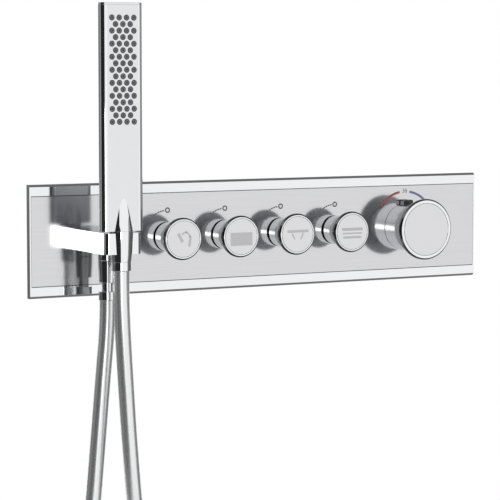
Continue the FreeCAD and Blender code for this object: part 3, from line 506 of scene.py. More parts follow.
def shade(obj: Piece, angle: float = EDGE_ANGLE) -> None:
    """Shade a piece smooth, apart from edges of more than an angle in degrees."""
    only(obj)
    bpy.ops.object.shade_smooth_by_angle(angle=math.radians(angle))


def soften(obj: Piece, width: float = 0.2, sharp: float = 30.0) -> None:
    """Take the sharpness off a piece's edges and shade it, with its flats left flat.

    Args:
        obj: Piece to finish.
        width: Width of the rounding, in millimetres.
        sharp: Least angle of an edge that is rounded, in degrees.
    """
    modify(obj, "BEVEL", width=width * MM, segments=1 + (width >= TWO_FACES) + (width >= THREE_FACES),
           limit_method="ANGLE", angle_limit=math.radians(sharp))
    shade(obj)
    modify(obj, "WEIGHTED_NORMAL", keep_sharp=True, weight=100)


def dress(obj: Piece, finish: Finish, body: str, slot: str, *nodes: str) -> None:
    """Give a finished piece its material and its body, and hide the CAD nodes that it stands for.

    Args:
        obj: Finished piece.
        finish: Its main finish.
        body: CAD body that it moves with.
        slot: Material slot of the record; not used.
        *nodes: CAD nodes that it replaces.
    """
    obj.data.materials.clear()
    obj.data.materials.append(finish.material())
    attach(obj, body)
    if nodes:
        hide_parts(*nodes)
    LOG.info("%s: %d faces, %s, on %s", obj.name, len(obj.data.polygons), finish.name, body)


def second_finish(obj: Piece, finish: Finish, test: Test) -> None:
    """Give some faces of a dressed piece another finish.

    Args:
        obj: Dressed piece.
        finish: The other finish.
        test: Says yes or no from a face's middle and normal.
    """
    obj.data.materials.append(finish.material())
    number = len(obj.data.materials) - 1
    for face in obj.data.polygons:
        if test(face.center, face.normal):
            face.material_index = number


def shaded_side(place: Vector, normal: Vector) -> bool:
    """Whether a face of an upright piece looks to the wall or far to the left, where painted shade goes on the plate.
    """
    return normal.y > PAST or (normal.x < -TOWARDS and normal.y > -PAST)


def middle_of(node: str) -> Vector:
    """Middle of a CAD node's box."""
    low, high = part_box(node)
    return (low + high) / 2


def extent(node: str, axis: Axis) -> tuple[Vector, float, float, float]:
    """Measure a CAD node as a turned piece.

    Args:
        node: Name of the node.
        axis: Axis that it is turned about.

    Returns:
        Its middle in metres, and its radius, start and end along the axis in millimetres.
    """
    low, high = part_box(node)
    start, end = (low.z, high.z) if axis is Axis.UP else (-high.y, -low.y)
    return (low + high) / 2, (high.x - low.x) / 2 / MM, start / MM, end / MM


# Sub-assemblies

@dataclass
class CoverPlate:
    """The long plate on the wall, bevelled along its top and bottom, and the brushed panel inlaid in it."""

    rim: float = 2.5
    hollow: float = 3.2
    bevel: float = 2.1
    strip: float = 10.0
    channel_ends: float = 1.4
    channel_lip: float = 0.25
    panel_thick: float = 1.2
    collar_hole: float = 11.9
    thermostat_hole: float = 14.7
    pipe_hole: float = 7.3
    drill_reach: float = 20.0
    panel_edge: float = 0.25

    def drill(self, obj: Piece) -> None:
        """Drill the holes for the collars, the thermostat and the feed pipe.

        Args:
            obj: Piece that is drilled.
        """
        drills = [(middle_of(f"knob_{k}"), self.collar_hole) for k in KNOBS]
        drills += [(middle_of("temperature_knob"), self.thermostat_hole), (middle_of("feed_pipe"), self.pipe_hole)]
        for middle, radius in drills:
            start = Vector((middle.x, 0, middle.z))
            end = start + Vector((0, -self.drill_reach * MM, 0))
            combine(obj, Join.CUT, rod("drill", radius, start, end, FINE))

    def build(self) -> None:
        """Model the plate and its panel."""
        low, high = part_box("cover_plate")
        plate = block("mixer_cover_plate", low, high)
        with editing(plate):
            pick(plate, Part.FACES, lambda place, normal: normal.y > ALONG)
            bpy.ops.mesh.inset(thickness=self.rim * MM)
            bpy.ops.mesh.extrude_region_move(TRANSFORM_OT_translate={"value": (0, -self.hollow * MM, 0)})
            pick(plate, Part.EDGES, lambda place, line: place.y < low.y + NEAR and abs(line.x) > ALONG)
            bpy.ops.mesh.bevel(offset=self.bevel * MM, segments=1, affect="EDGES")
        inner = Vector((self.channel_ends, 0, self.strip)) * MM
        floor = low.y + self.panel_thick * MM
        channel = block("channel", Vector((low.x + inner.x, low.y - MM, low.z + inner.z)),
                        Vector((high.x - inner.x, floor, high.z - inner.z)))
        combine(plate, Join.CUT, channel)
        self.drill(plate)
        soften(plate)
        dress(plate, POLISHED_CHROME, "mixer", "polished_chrome", "cover_plate")
        lip, end = low.y + self.channel_lip * MM, high.x - SKIN * MM
        # Painted shadow in the channel round the panel, and painted shade on the plate's two ends
        second_finish(plate, DEEP_SHADE_CHROME, lambda place, normal: abs(place.z) < high.z - inner.z + NEAR
                      and abs(place.x) < high.x - inner.x + NEAR and place.y > lip)
        second_finish(plate, PAINTED_SHADE_CHROME, lambda place, normal: abs(place.x) > end)
        panel = block("mixer_centre_panel", *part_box("centre_panel"))
        self.drill(panel)
        soften(panel, self.panel_edge)
        dress(panel, BRUSHED_STEEL, "mixer", "brushed_chrome", "centre_panel")


@dataclass(frozen=True)
class KnobDisc:
    """What all the knobs share: a disc on a neck, bevelled round its face, and the brushed inset in it."""

    neck_r: float
    rim_width: float
    steps: int = FINE
    thick: float = 3.6
    bevel: float = 1.4
    edge: float = 0.3
    inset_thick: float = 0.8
    inset_gap: float = 0.25

    def build(self, name: str, body: str, node: str, inset_node: str, rear: Outline) -> None:
        """Model a knob and its inset.

        Args:
            name: Name of the knob's piece.
            body: Body that both move with.
            node: CAD node of the knob.
            inset_node: CAD node of the inset.
            rear: Outline behind the disc, from the neck's root to the axis.
        """
        def reach(place: Vector) -> float:
            """Distance from the knob's axis, in millimetres."""
            return math.hypot(place.x - middle.x, place.z - middle.z) / MM
        middle, radius, _, face = extent(node, Axis.OUT)
        recess, inset_r, bevel_r = face - self.inset_thick, radius - self.rim_width, radius - self.bevel
        outline = [(0, recess), (inset_r, recess), (inset_r, face), (bevel_r, face), (radius, face - self.bevel),
                   (radius, face - self.thick)]
        knob = turned(name, outline + rear, Axis.OUT, middle, self.steps)
        soften(knob, self.edge)
        dress(knob, POLISHED_CHROME, body, "polished_chrome", node)
        # Painted shade on the back, painted light grey on the neck, and deeper painted shade on the rim's side
        second_finish(knob, PAINTED_SHADE_CHROME, lambda place, normal: normal.y > TOWARDS)
        second_finish(knob, PAINTED_LIGHT_GREY, lambda place, normal: abs(reach(place) - self.neck_r) < SKIN)
        second_finish(knob, DEEP_SHADE_CHROME, lambda place, normal: reach(place) > bevel_r and abs(normal.y) < ALONG)
        edge_r = inset_r - self.inset_gap
        inset = turned(f"{name}_inset", [(0, recess), (edge_r, recess), (edge_r, face), (0, face)], Axis.OUT, middle,
                       self.steps)
        soften(inset)
        dress(inset, BRUSHED_INSET, body, "brushed_chrome", inset_node)


# Bars of each outlet's mark: place across and up, width and height in millimetres, turn in degrees
OUTLET_MARKS = {
    1: [(-3.2, 1.2, 3.0, 9.0, -30), (0.5, 5.4, 5.0, 1.8, -27), (4.7, 4.3, 1.8, 6.2, -44), (6.2, -2.3, 2.4, 9.1, 8)],
    2: [(0.0, -2.2, 22.3, 11.8, 0)],
    3: [(0.4, 2.8, 22.0, 2.4, 0), (-4.5, -1.7, 1.5, 6.4, -26), (4.5, -1.7, 1.5, 6.4, 24)],
    4: [(0.0, 2.6, 22.2, 2.6, 0), (0.0, -1.2, 20.5, 1.4, 0), (0.0, -4.9, 19.6, 2.0, 0)],
}


@dataclass
class OutletKnob:
    """A push-and-turn knob: its disc and neck, its brushed inset with a mark, and the collar round its neck."""

    number: int
    disc: KnobDisc = KnobDisc(neck_r=10.1, rim_width=2.5)
    neck_wall: float = 2.0
    hub_r: float = 6.0
    hub_bore: float = 4.05
    hub_length: float = 14.0
    collar_wall: float = 3.0
    collar_foot_r: float = 11.6
    collar_gap: float = 2.0
    collar_edge: float = 0.35
    mark_proud: float = 0.04
    mark_edge: float = 0.02

    def build(self) -> None:
        """Model the knob, the inset, its mark and the collar."""
        name = f"knob_{self.number}"
        _, _, neck_end, face = extent(name, Axis.OUT)
        neck, back = self.disc.neck_r, face - self.disc.thick
        bore, hub_end = neck - self.neck_wall, back - self.hub_length
        rear = [(neck, back), (neck, neck_end), (bore, neck_end), (bore, back), (self.hub_r, back),
                (self.hub_r, hub_end), (self.hub_bore, hub_end), (self.hub_bore, back), (0, back)]
        self.disc.build(f"outlet_{name}", name, name, f"knob_inset_{self.number}", rear)
        self.mark()
        self.collar()

    def mark(self) -> None:
        """Model the mark on the inset from a few bars."""
        body, bars = f"knob_{self.number}", []
        middle, _, _, face = extent(body, Axis.OUT)
        for across, up, width, height, turn in OUTLET_MARKS[self.number]:
            deselect()
            spot = Vector((middle.x + across * MM, -face * MM, middle.z + up * MM))
            bpy.ops.mesh.primitive_cube_add(size=1.0, location=spot, rotation=(0, math.radians(turn), 0),
                                            scale=Vector((width, 2 * self.mark_proud, height)) * MM)
            bars.append(settle("bar"))
        mark = gathered(f"outlet_{body}_mark", bars)
        soften(mark, self.mark_edge)
        dress(mark, ETCHED_MARK, body, "brushed_chrome")

    def collar(self) -> None:
        """Model the collar round the neck."""
        node, middle = f"knob_collar_{self.number}", middle_of(f"knob_{self.number}")
        _, radius, inner, outer = extent(node, Axis.OUT)
        bore, foot = radius - self.collar_wall, self.collar_foot_r
        step = -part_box("centre_panel")[0].y / MM + self.collar_gap
        outline = [(bore, inner), (foot, inner), (foot, step), (radius, step), (radius, outer), (bore, outer)]
        collar = turned(f"outlet_{node}", outline, Axis.OUT, middle)
        soften(collar, self.collar_edge)
        dress(collar, TURNED_CHROME, "mixer", "polished_chrome", node)
        # Painted light grey on the collar's end face, in the shade behind the disc
        second_finish(collar, PAINTED_LIGHT_GREY, lambda place, normal: normal.y < -ALONG)
        # The foot, in the shadow gap against the panel, is painted shade in black rubber
        second_finish(collar, BLACK_RUBBER, lambda place, normal: place.y > -(step + SKIN) * MM)


@dataclass
class TemperatureKnob:
    """The large disc, its inset, the skirt behind it and the safety button on the skirt."""

    disc: KnobDisc = KnobDisc(neck_r=15.5, rim_width=3.9, steps=FINEST)
    hub_r: float = 9.0
    hub_bore: float = 5.05
    hub_slip: float = 0.1
    crown: float = 8.8
    skirt_wall: float = 2.8
    skirt_web: float = 3.0
    skirt_edge: float = 0.4
    button_width: float = 10.4
    button_lip: float = 1.5
    button_round: float = 1.4
    slip: float = 0.3

    def build(self) -> None:
        """Model the knob, the inset, the skirt and the button."""
        self.skirt()
        _, _, hub_end, face = extent("temperature_knob", Axis.OUT)
        _, _, _, skirt_end = extent("temperature_skirt", Axis.OUT)
        neck, back = self.disc.neck_r, face - self.disc.thick
        crown = back - self.crown
        rear = [(neck, back), (neck, skirt_end), (self.hub_r, skirt_end), (self.hub_r, hub_end),
                (self.hub_bore, hub_end), (self.hub_bore, crown), (0, crown)]
        self.disc.build("temperature_disc", "temperature", "temperature_knob", "temperature_inset", rear)
        self.button()

    def skirt(self) -> None:
        """Model the skirt with the button's slot."""
        middle = middle_of("temperature_knob")
        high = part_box("temperature_skirt")[1]
        _, radius, start, end = extent("temperature_skirt", Axis.OUT)
        bore, hub, web = radius - self.skirt_wall, self.hub_r + self.hub_slip, end - self.skirt_web
        outline = [(bore, start), (radius, start), (radius, end), (hub, end), (hub, web), (bore, web)]
        skirt = turned("temperature_drum", outline, Axis.OUT, middle, FINEST)
        button_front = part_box("stop_button")[0].y
        half = (self.button_width / 2 + self.slip) * MM
        slot = block("slot", Vector((middle.x - half, button_front - self.slip * MM, 0)),
                     Vector((middle.x + half, high.y + MM, high.z + MM)))
        combine(skirt, Join.CUT, slot)
        soften(skirt, self.skirt_edge)
        dress(skirt, TURNED_CHROME, "temperature", "polished_chrome", "temperature_skirt")
        # Painted light grey on the skirt's front face, in the shade behind the disc
        second_finish(skirt, PAINTED_LIGHT_GREY, lambda place, normal: normal.y < -ALONG)

    def button(self) -> None:
        """Model the safety button: a crowned cap over a lip."""
        low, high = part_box("stop_button")
        middle = (low.x + high.x) / 2
        half = self.button_width / 2 * MM
        button = block("temperature_stop_button", low, Vector((high.x, high.y, low.z + self.button_lip * MM)))
        cap = block("cap", Vector((middle - half, low.y, low.z)), Vector((middle + half, high.y, high.z)))
        rounded(cap, lambda place, line: place.z > high.z - NEAR, self.button_round, segments=5)
        combine(button, Join.FUSE, cap)
        soften(button)
        dress(button, BLACK_ABS, "stop_button", "black_abs", "stop_button")


@dataclass
class HolderArm:
    """The block that holds the hand shower, and the nipple under it that feeds the hose."""

    corner_round: float = 5.0
    edge: float = 0.45
    seat_out: float = 61.8
    seat_low_r: float = 9.7
    seat_high_r: float = 10.5
    overcut: float = 0.5
    outlet_out: float = 33.1
    pipe_r: float = 7.1
    pipe_depth: float = 16.0
    thread_r: float = 6.1
    nipple_head: float = 7.4
    nipple_low_r: float = 7.2
    nipple_neck_r: float = 4.8
    nipple_neck: float = 8.0
    nipple_thread: float = 5.9
    nipple_bore: float = 3.4
    nipple_edge: float = 0.3
    groove_width: float = 0.8
    groove_depth: float = 0.5

    def build(self) -> None:
        """Model the arm and the nipple."""
        low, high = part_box("holder_arm")
        arm = block("hand_shower_holder", low, high)
        rounded(arm, lambda place, line: abs(line.z) > ALONG and place.y < low.y + NEAR, self.corner_round,
                segments=10)
        middle = Vector(((low.x + high.x) / 2, -self.seat_out * MM, 0))
        bottom, top = low.z / MM - self.overcut, high.z / MM + self.overcut
        seat = turned("seat", [(0, bottom), (self.seat_low_r, bottom), (self.seat_high_r, top), (0, top)],
                      Axis.UP, middle)
        combine(arm, Join.CUT, seat)
        outlet = Vector((middle.x, -self.outlet_out * MM, low.z - MM))
        combine(arm, Join.CUT, rod("thread", self.thread_r, outlet, Vector((outlet.x, outlet.y, 0))))
        pipe = middle_of("feed_pipe")
        root = Vector((pipe.x, high.y + MM, pipe.z))
        combine(arm, Join.CUT, rod("bore", self.pipe_r, root, root + Vector((0, -self.pipe_depth * MM, 0))))
        soften(arm, self.edge)
        dress(arm, POLISHED_CHROME, "mixer", "polished_chrome", "holder_arm")
        # Painted shade on the arm's top and bottom
        second_finish(arm, DEEP_SHADE_CHROME, lambda place, normal: abs(normal.z) > MOSTLY)
        self.nipple()

    def nipple(self) -> None:
        """Model the nipple that the hose hangs from: a head, a groove, a tapering sleeve and a neck."""
        middle, head_r, bottom, top = extent("outlet_nipple", Axis.UP)
        head_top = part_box("holder_arm")[0].z / MM
        head_low, neck_top = head_top - self.nipple_head, bottom + self.nipple_neck
        outline = [(self.nipple_bore, bottom), (self.nipple_neck_r, bottom), (self.nipple_neck_r, neck_top),
                   (self.nipple_low_r, neck_top), (head_r, head_low - self.groove_width),
                   (head_r - self.groove_depth, head_low - self.groove_width / 2), (head_r, head_low),
                   (head_r, head_top), (self.nipple_thread, head_top), (self.nipple_thread, top),
                   (self.nipple_bore, top)]
        nipple = turned("hose_outlet_nipple", outline, Axis.UP, middle, COARSE)
        soften(nipple, self.nipple_edge)
        dress(nipple, POLISHED_CHROME, "mixer", "polished_chrome", "outlet_nipple")
        # Painted shade on the nipple's faces towards the wall and the left
        second_finish(nipple, PAINTED_SHADE_CHROME, shaded_side)


@dataclass
class HandShower:
    """The flat stick with its end cap and nozzles, and the cone nut that it stands on."""

    edge_round: float = 5.5
    cap_edge: float = 0.35
    wall: float = 1.8
    side_wall: float = 4.0
    solid_end: float = 15.0
    nib_low_r: float = 10.2
    nib_high_r: float = 4.4
    nib_height: float = 36.0
    rows: int = 17
    most: int = 4
    pitch_x: float = 6.9
    pitch_z: float = 5.55
    first_row: float = 13.0
    hole_r: float = 2.6
    drill_reach: float = 3.0
    nozzle_r: float = 2.35
    nozzle_root: float = 0.2
    nozzle_bevel: float = 0.4
    jet_r: float = 0.55
    jet_depth: float = 1.2
    mat_thick: float = 1.5
    seat_out: float = 61.8
    nut_arm_r: float = 9.4
    nut_end_r: float = 8.6
    nut_bore: float = 5.0
    nut_edge: float = 0.3
    # Share of the front in a normal, where the round edges start and where they darken
    flat_share: float = 0.9995
    round_share: float = 0.85

    def rounded_bar(self, name: str, low: Vector, high: Vector) -> Piece:
        """Add a block between two corners and round its long edges."""
        return rounded(block(name, low, high), lambda place, line: abs(line.z) > ALONG, self.edge_round, segments=12)

    def nozzle_spots(self) -> Spots:
        """Place the nozzles in rows that take turns in their number.

        Returns:
            Places across from the stick's middle and up, in metres.
        """
        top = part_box("hand_shower_end_cap")[1].z
        spots = []
        for row in range(self.rows):
            count = self.most - row % 2
            up = top - (self.first_row + row * self.pitch_z) * MM
            spots += [((i - (count - 1) / 2) * self.pitch_x * MM, up) for i in range(count)]
        return spots

    def build(self) -> None:
        """Model the stick, its cap, the nozzles and the cone nut."""
        low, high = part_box("hand_shower_shell")
        cap_low, cap_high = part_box("hand_shower_end_cap")
        middle = (low + high) / 2
        stick = self.rounded_bar("hand_shower_stick", Vector((low.x, cap_low.y, low.z)),
                                 Vector((high.x, cap_high.y, high.z)))
        axis = Vector((middle.x, -self.seat_out * MM, 0))
        foot = low.z / MM
        nib = turned("nib", [(0, foot), (self.nib_low_r, foot), (self.nib_high_r, foot + self.nib_height),
                             (0, foot + self.nib_height)], Axis.UP, axis)
        combine(stick, Join.FUSE, nib)
        inner = Vector((self.side_wall, self.wall, 0)) * MM
        cavity = block("cavity", Vector((low.x, cap_low.y, low.z + self.solid_end * MM)) + inner,
                       Vector((high.x, cap_high.y, high.z + MM)) - inner)
        combine(stick, Join.CUT, cavity)
        spots = self.nozzle_spots()
        front = cap_low.y
        x, z = middle.x + spots[0][0], spots[0][1]
        first = rod("drill", self.hole_r, Vector((x, front - MM, z)), Vector((x, front + self.drill_reach * MM, z)),
                    sides=20)
        combine(stick, Join.CUT, gathered("drills", repeated(first, spots)))
        soften(stick, sharp=40)
        dress(stick, SATIN_CHROME, "hand_shower", "satin_chrome", "hand_shower_shell")
        nib_out = front - SKIN * MM
        second_finish(stick, POLISHED_CHROME, lambda place, normal: place.y < nib_out
                      or -self.flat_share < normal.y < -self.round_share)
        # Painted shade on the faces towards the wall and the left; deeper painted shade under the foot and on the
        # nib's right side
        second_finish(stick, PAINTED_SHADE_CHROME, shaded_side)
        second_finish(stick, DEEP_SHADE_CHROME, lambda place, normal: normal.z < -PAST
                      or (place.y < nib_out and normal.x > TOWARDS))
        cap = self.rounded_bar("hand_shower_top", cap_low, cap_high)
        soften(cap, self.cap_edge, sharp=40)
        dress(cap, SATIN_CHROME, "hand_shower", "satin_chrome", "hand_shower_end_cap")
        self.nozzles()
        self.cone_nut(axis)

    def nozzles(self) -> None:
        """Model one nozzle, copy it to every hole, and set them on their mat."""
        spots = self.nozzle_spots()
        low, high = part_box("nozzle_mat")
        mat = block("mat", Vector((low.x, high.y - self.mat_thick * MM, low.z)), high)
        spot = Vector((middle_of("hand_shower_shell").x + spots[0][0], 0, spots[0][1]))
        root, tip = -(high.y - self.mat_thick * MM) / MM - self.nozzle_root, -low.y / MM
        jet_end = tip - self.jet_depth
        outline = [(0, root), (self.nozzle_r + self.nozzle_root, root), (self.nozzle_r, tip - self.nozzle_bevel),
                   (self.nozzle_r - self.nozzle_bevel, tip), (self.jet_r, tip), (self.jet_r, jet_end), (0, jet_end)]
        first = turned("nozzle", outline, Axis.OUT, spot, steps=16)
        mat = gathered("hand_shower_nozzles", [mat] + repeated(first, spots))
        shade(mat, PRINT_ANGLE)
        dress(mat, GREY_SILICONE, "hand_shower", "grey_silicone", "nozzle_mat")

    def cone_nut(self, axis: Vector) -> None:
        """Model the cone nut that the stick stands on.

        Args:
            axis: A point of the nut's axis, in metres.
        """
        _, top_r, bottom, top = extent("hose_cone_nut", Axis.UP)
        arm_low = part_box("holder_arm")[0].z / MM
        outline = [(self.nut_bore, bottom), (self.nut_end_r, bottom), (self.nut_arm_r, arm_low), (top_r, top),
                   (self.nut_bore, top)]
        nut = turned("hose_cone", outline, Axis.UP, axis)
        soften(nut, self.nut_edge, sharp=20)
        dress(nut, POLISHED_CHROME, "hand_shower", "polished_chrome", "hose_cone_nut")
        # Painted shade on the nut's faces towards the wall and the left
        second_finish(nut, PAINTED_SHADE_CHROME, shaded_side)


@dataclass
class Hose:
    """The smooth hose that loops from the outlet down and back up to the hand shower, with its two ferrules."""

    diameter: float = 14.0
    length: float = 1161.1
    bore: float = 3.4
    arm_x: float = -171.2
    lead_in: float = 0.5
    ferrule_edge: float = 0.15
    # Out from the wall: up to where the hose keeps still, and from where it moves with the hand shower
    still_out: float = 34.5
    lifted_out: float = 60.0
    # Across from the arm's middle, out from the wall and up, in millimetres
    route: tuple[Triple, ...] = (
        (0, 33.1, -51.4), (0, 33.1, -73), (-4.4, 32.5, -119), (-9.1, 31, -179), (-15.6, 28.8, -259),
        (-38, 27.5, -344), (-66.5, 27.5, -422), (-84, 27.5, -486), (-66.6, 27.5, -533), (-25.2, 27.5, -562),
        (25.2, 27.5, -562), (66.6, 27.5, -533), (84, 28, -486), (66.5, 30, -422), (40, 38, -344),
        (17.8, 54.5, -259), (8.3, 60, -179), (3.5, 61.3, -112), (0, 61.8, -54), (0, 61.8, -23.4))

    def spline(self, name: str, radius: float) -> Piece:
        """Draw the hose's line as a smooth curve.

        Args:
            name: Name of the object.
            radius: Radius of the tube round the line, in metres, or 0 for the bare line.

        Returns:
            The curve's object.
        """
        data = bpy.data.curves.new(name, "CURVE")
        data.dimensions = "3D"
        data.resolution_u = 14
        data.bevel_depth = radius
        data.bevel_resolution = 7
        data.use_fill_caps = True
        line = data.splines.new("NURBS")
        line.points.add(len(self.route) - 1)
        for point, (across, out, up) in zip(line.points, self.route):
            point.co = ((self.arm_x + across) * MM, -out * MM, up * MM, 1.0)
        line.order_u = 3
        line.use_endpoint_u = True
        obj = bpy.data.objects.new(name, data)
        bpy.context.scene.collection.objects.link(obj)
        return obj

    def build(self) -> None:
        """Model the hose and its ferrules."""
        bare = self.spline("line", 0.0)
        bpy.context.view_layer.update()
        traced = bpy.data.meshes.new_from_object(bare)
        bpy.data.meshes.remove(traced)
        bpy.data.objects.remove(bare)
        hose = self.spline("shower_hose", self.diameter / 2 * MM)
        only(hose)
        bpy.ops.object.convert(target="MESH")
        shade(hose)
        hose.data.materials.append(SILVER_HOSE.material())
        # Only the rising strand comes away from the wall, so the loop keeps its form when that strand is lifted
        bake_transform(hose)
        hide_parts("hose")
        LOG.info("%s: %d faces", hose.name, len(hose.data.polygons))
        outlet = self.ferrule("outlet_ferrule", "hose_outlet_ferrule", "mixer")
        cone = self.ferrule("hose_ferrule", "hose_cone_ferrule", "hand_shower")

    def ferrule(self, node: str, name: str, body: str) -> Piece:
        """Model a pressed ferrule with a bevel round its lower end.

        Args:
            node: CAD node that it replaces.
            name: Name of the object.
            body: Body that it moves with.

        Returns:
            The ferrule.
        """
        middle, radius, bottom, top = extent(node, Axis.UP)
        outline = [(self.bore, bottom), (radius - self.lead_in, bottom), (radius, bottom + self.lead_in),
                   (radius, top), (self.bore, top)]
        ferrule = turned(name, outline, Axis.UP, middle, COARSE)
        soften(ferrule, self.ferrule_edge, sharp=20)
        dress(ferrule, POLISHED_CHROME, body, "polished_chrome", node)
        # Painted shade on the ferrule's faces towards the wall and the left
        second_finish(ferrule, PAINTED_SHADE_CHROME, shaded_side)
        return ferrule


@dataclass
class DialMarks:
    """The printed marks on the panel: hot and cold arcs with the stop's number, and the outlets' on marks."""

    proud: float = 0.04
    arc_r: float = 33.8
    arc_width: float = 2.2
    # Start and sweep of the arcs and the dashes, in degrees from the top, clockwise
    hot: tuple[float, float] = (-51, 41.5)
    cold: tuple[float, float] = (9.3, 39)
    dashes: int = 5
    dash_start: float = -37
    dash_pitch: float = 6
    dash_sweep: float = 4.8
    dash_line: float = 1.2
    number_size: float = 5.6
    number_rise: float = 32.6
    ring_r: float = 1.95
    ring_line: float = 1.3
    knob_mark_r: float = 23.9
    step_angle: float = 2.0
    least_steps: int = 6

    def arc(self, name: str, middle: Vector, radius: float, width: float, start: float, sweep: float,
            ink: Finish) -> None:
        """Print an arc.

        Args:
            name: Name of the piece.
            middle: Centre of the arc, in metres.
            radius: Radius of its middle line, in millimetres.
            width: Width of the line, in millimetres.
            start: Angle at which it starts, in degrees from the top, clockwise.
            sweep: Angle that it covers, in degrees.
            ink: Ink that it is printed with.
        """
        face = -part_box("centre_panel")[0].y / MM
        inner, outer = radius - width / 2, radius + width / 2
        outline = [(inner, face - self.proud), (outer, face - self.proud), (outer, face + self.proud),
                   (inner, face + self.proud)]
        steps = max(self.least_steps, int(abs(sweep) / self.step_angle))
        piece = turned(name, outline, Axis.OUT, middle, steps, start, sweep)
        shade(piece, PRINT_ANGLE)
        dress(piece, ink, "mixer", "brushed_chrome")

    def build(self) -> None:
        """Print the arcs, the number and the knobs' marks."""
        dial = middle_of("temperature_knob")
        self.arc("hot_arc", dial, self.arc_r, self.arc_width, *self.hot, RED_INK)
        self.arc("cold_arc", dial, self.arc_r, self.arc_width, *self.cold, BLUE_INK)
        self.number()
        for k in KNOBS:
            middle = middle_of(f"knob_{k}")
            spot = Axis.OUT.at(middle, self.knob_mark_r, 0)
            self.arc(f"outlet_ring_{k}", spot, self.ring_r, self.ring_line, 0, 360, GREY_INK)
            for dash in range(self.dashes):
                self.arc(f"outlet_dash_{k}_{dash}", middle, self.knob_mark_r, self.dash_line,
                         self.dash_start + dash * self.dash_pitch, self.dash_sweep, GREY_INK)

    def number(self) -> None:
        """Print the number of the safety stop."""
        deselect()
        dial = middle_of("temperature_knob")
        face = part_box("centre_panel")[0].y
        bpy.ops.object.text_add(location=(dial.x, face, dial.z + self.number_rise * MM),
                                rotation=(math.radians(90), 0, 0))
        text = bpy.context.object.data
        text.body = "38"
        text.size = self.number_size * MM
        text.align_x = "CENTER"
        text.extrude = self.proud * MM
        bpy.ops.object.convert(target="MESH")
        dress(settle("stop_number"), GREY_INK, "mixer", "brushed_chrome")


def dress_frame() -> None:
    """Give every CAD node the finish of its slot."""
    for row in frame["record"]["subparts"]:
        node = frame["nodes"][row["node"]]
        finish = SLOT_FINISHES[row["material_slot"]]
        for slot in node.material_slots:
            slot.material = finish.material()
        LOG.info("%s: %s", row["node"], finish.name)


# Studio

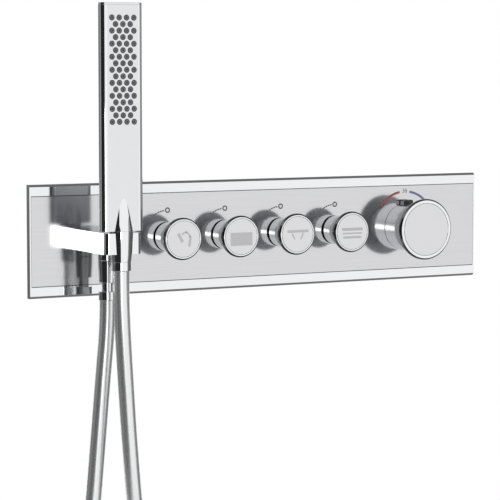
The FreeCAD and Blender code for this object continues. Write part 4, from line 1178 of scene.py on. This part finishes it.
@dataclass
class Studio:
    """A plain white room with soft light, dark flags that the chrome mirrors, and the camera."""

    camera_place: Triple = (-0.9651, -1.7496, 0.1516)
    camera_line: Triple = (0.4771, 0.8748, -0.0839)
    lens: float = 155.9
    sensor: float = 36.0
    floor_z: float = -0.66
    floor_half: float = 0.9
    room_light: float = 0.75
    # Name, lowest and highest corner in metres, and brightness
    flags: tuple[tuple[str, Triple, Triple, float], ...] = (
        ("left_flag", (-1.15, -1.9, -0.9), (-1.15, 0.1, 0.9), 0.02),
        ("back_left_flag", (-1.15, 0.1, -0.1), (-1.15, 6.0, 0.9), 0.36),
        ("low_left_flag", (-1.15, 0.1, -0.9), (-1.15, 6.0, -0.1), 0.12),
        ("right_flag", (1.3, -0.8, -0.07), (1.3, 0.6, 0.9), 0.3),
        ("low_right_flag", (1.3, -0.8, -0.9), (1.3, 0.6, -0.07), 0.12),
        ("right_front_flag", (1.3, -1.25, -0.9), (1.3, -0.8, 0.9), 0.35),
        ("top_flag", (-0.6, -0.5, 0.95), (1.4, 0.5, 0.95), 0.15),
        ("bottom_flag", (-0.6, -0.45, -0.64), (1.2, 0.6, -0.64), 0.18))
    # Name, place, width and height in metres, watts, and whether the chrome mirrors it
    lamps: tuple[tuple[str, Triple, tuple[float, float], float, bool], ...] = (
        ("key_lamp", (-1.05, -1.8, -0.12), (0.6, 0.4), 2.4, True),
        ("soft_lamp", (1.2, -2.0, 1.6), (1.4, 1.4), 14.0, False))

    def hang_flags(self) -> None:
        """Hang the flat cards that only show in reflections."""
        for name, low, high, grey in self.flags:
            thick = Vector([MM if a == b else 0.0 for a, b in zip(low, high)])
            card = block(name, Vector(low) - thick / 2, Vector(high) + thick / 2)
            paint = bpy.data.materials.new(name)
            paint.use_nodes = True
            tree = paint.node_tree
            glow = add(tree, "ShaderNodeEmission", {"Color": (grey, grey, grey, 1.0), "Strength": 1.0})
            tree.links.new(glow.outputs["Emission"], tree.nodes["Material Output"].inputs["Surface"])
            card.data.materials.append(paint)
            for ray in ("camera", "diffuse", "transmission", "shadow"):
                setattr(card, f"visible_{ray}", False)

    def hang_lamps(self) -> None:
        """Hang the soft lamps, which shine on the mixer."""
        for name, place, size, watts, mirrored in self.lamps:
            data = bpy.data.lights.new(name, "AREA")
            data.shape = "RECTANGLE"
            data.size, data.size_y = size
            data.energy = watts
            lamp = bpy.data.objects.new(name, data)
            lamp.location = place
            lamp.rotation_euler = (-Vector(place)).to_track_quat("-Z", "Y").to_euler()
            lamp.visible_camera = False
            lamp.visible_glossy = mirrored
            bpy.context.scene.collection.objects.link(lamp)

    def room(self) -> None:
        """Paint the world white to the camera and in reflections, and grey as a light."""
        world = bpy.data.worlds.new("white_room")
        bpy.context.scene.world = world
        world.use_nodes = True
        tree = world.node_tree
        ray = add(tree, "ShaderNodeLightPath", {})
        seen = ray.outputs["Is Camera Ray"]
        for kind in ("Is Glossy Ray", "Is Transmission Ray"):
            seen = add(tree, "ShaderNodeMath", {0: seen, 1: ray.outputs[kind]}, operation="MAXIMUM").outputs[0]
        level = add(tree, "ShaderNodeMapRange", {"Value": seen, "To Min": self.room_light, "To Max": 1.0})
        tree.links.new(level.outputs["Result"], tree.nodes["Background"].inputs["Strength"])
        tree.nodes["Background"].inputs["Color"].default_value = linear("#ffffff")

    def floor(self) -> None:
        """Lay a plain pale floor under the hose."""
        deselect()
        bpy.ops.mesh.primitive_plane_add(size=2 * self.floor_half, location=(0, 0, self.floor_z))
        floor = settle("floor")
        floor.data.materials.append(PALE_FLOOR.material())

    def camera(self) -> None:
        """Stand the camera where the photo was taken from."""
        data = bpy.data.cameras.new("photo_view")
        data.lens = self.lens
        data.sensor_width = self.sensor
        camera = bpy.data.objects.new("photo_view", data)
        camera.location = self.camera_place
        camera.rotation_euler = Vector(self.camera_line).to_track_quat("-Z", "Y").to_euler()
        bpy.context.scene.collection.objects.link(camera)
        bpy.context.scene.camera = camera
        bpy.context.scene.view_settings.view_transform = "Standard"

    def build(self) -> None:
        """Set up the room, the flags, the lamps and the camera."""
        self.room()
        self.floor()
        self.hang_flags()
        self.hang_lamps()
        self.camera()


def main() -> None:
    """Build the sub-assemblies in order and light them."""
    logging.basicConfig(level=logging.INFO, format="%(name)s: %(message)s")
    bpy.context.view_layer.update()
    dress_frame()
    Hose().build()
    CoverPlate().build()
    for k in KNOBS:
        OutletKnob(k).build()
    TemperatureKnob().build()
    HolderArm().build()
    HandShower().build()
    DialMarks().build()
    Studio().build()


if __name__ == "__main__":
    main()
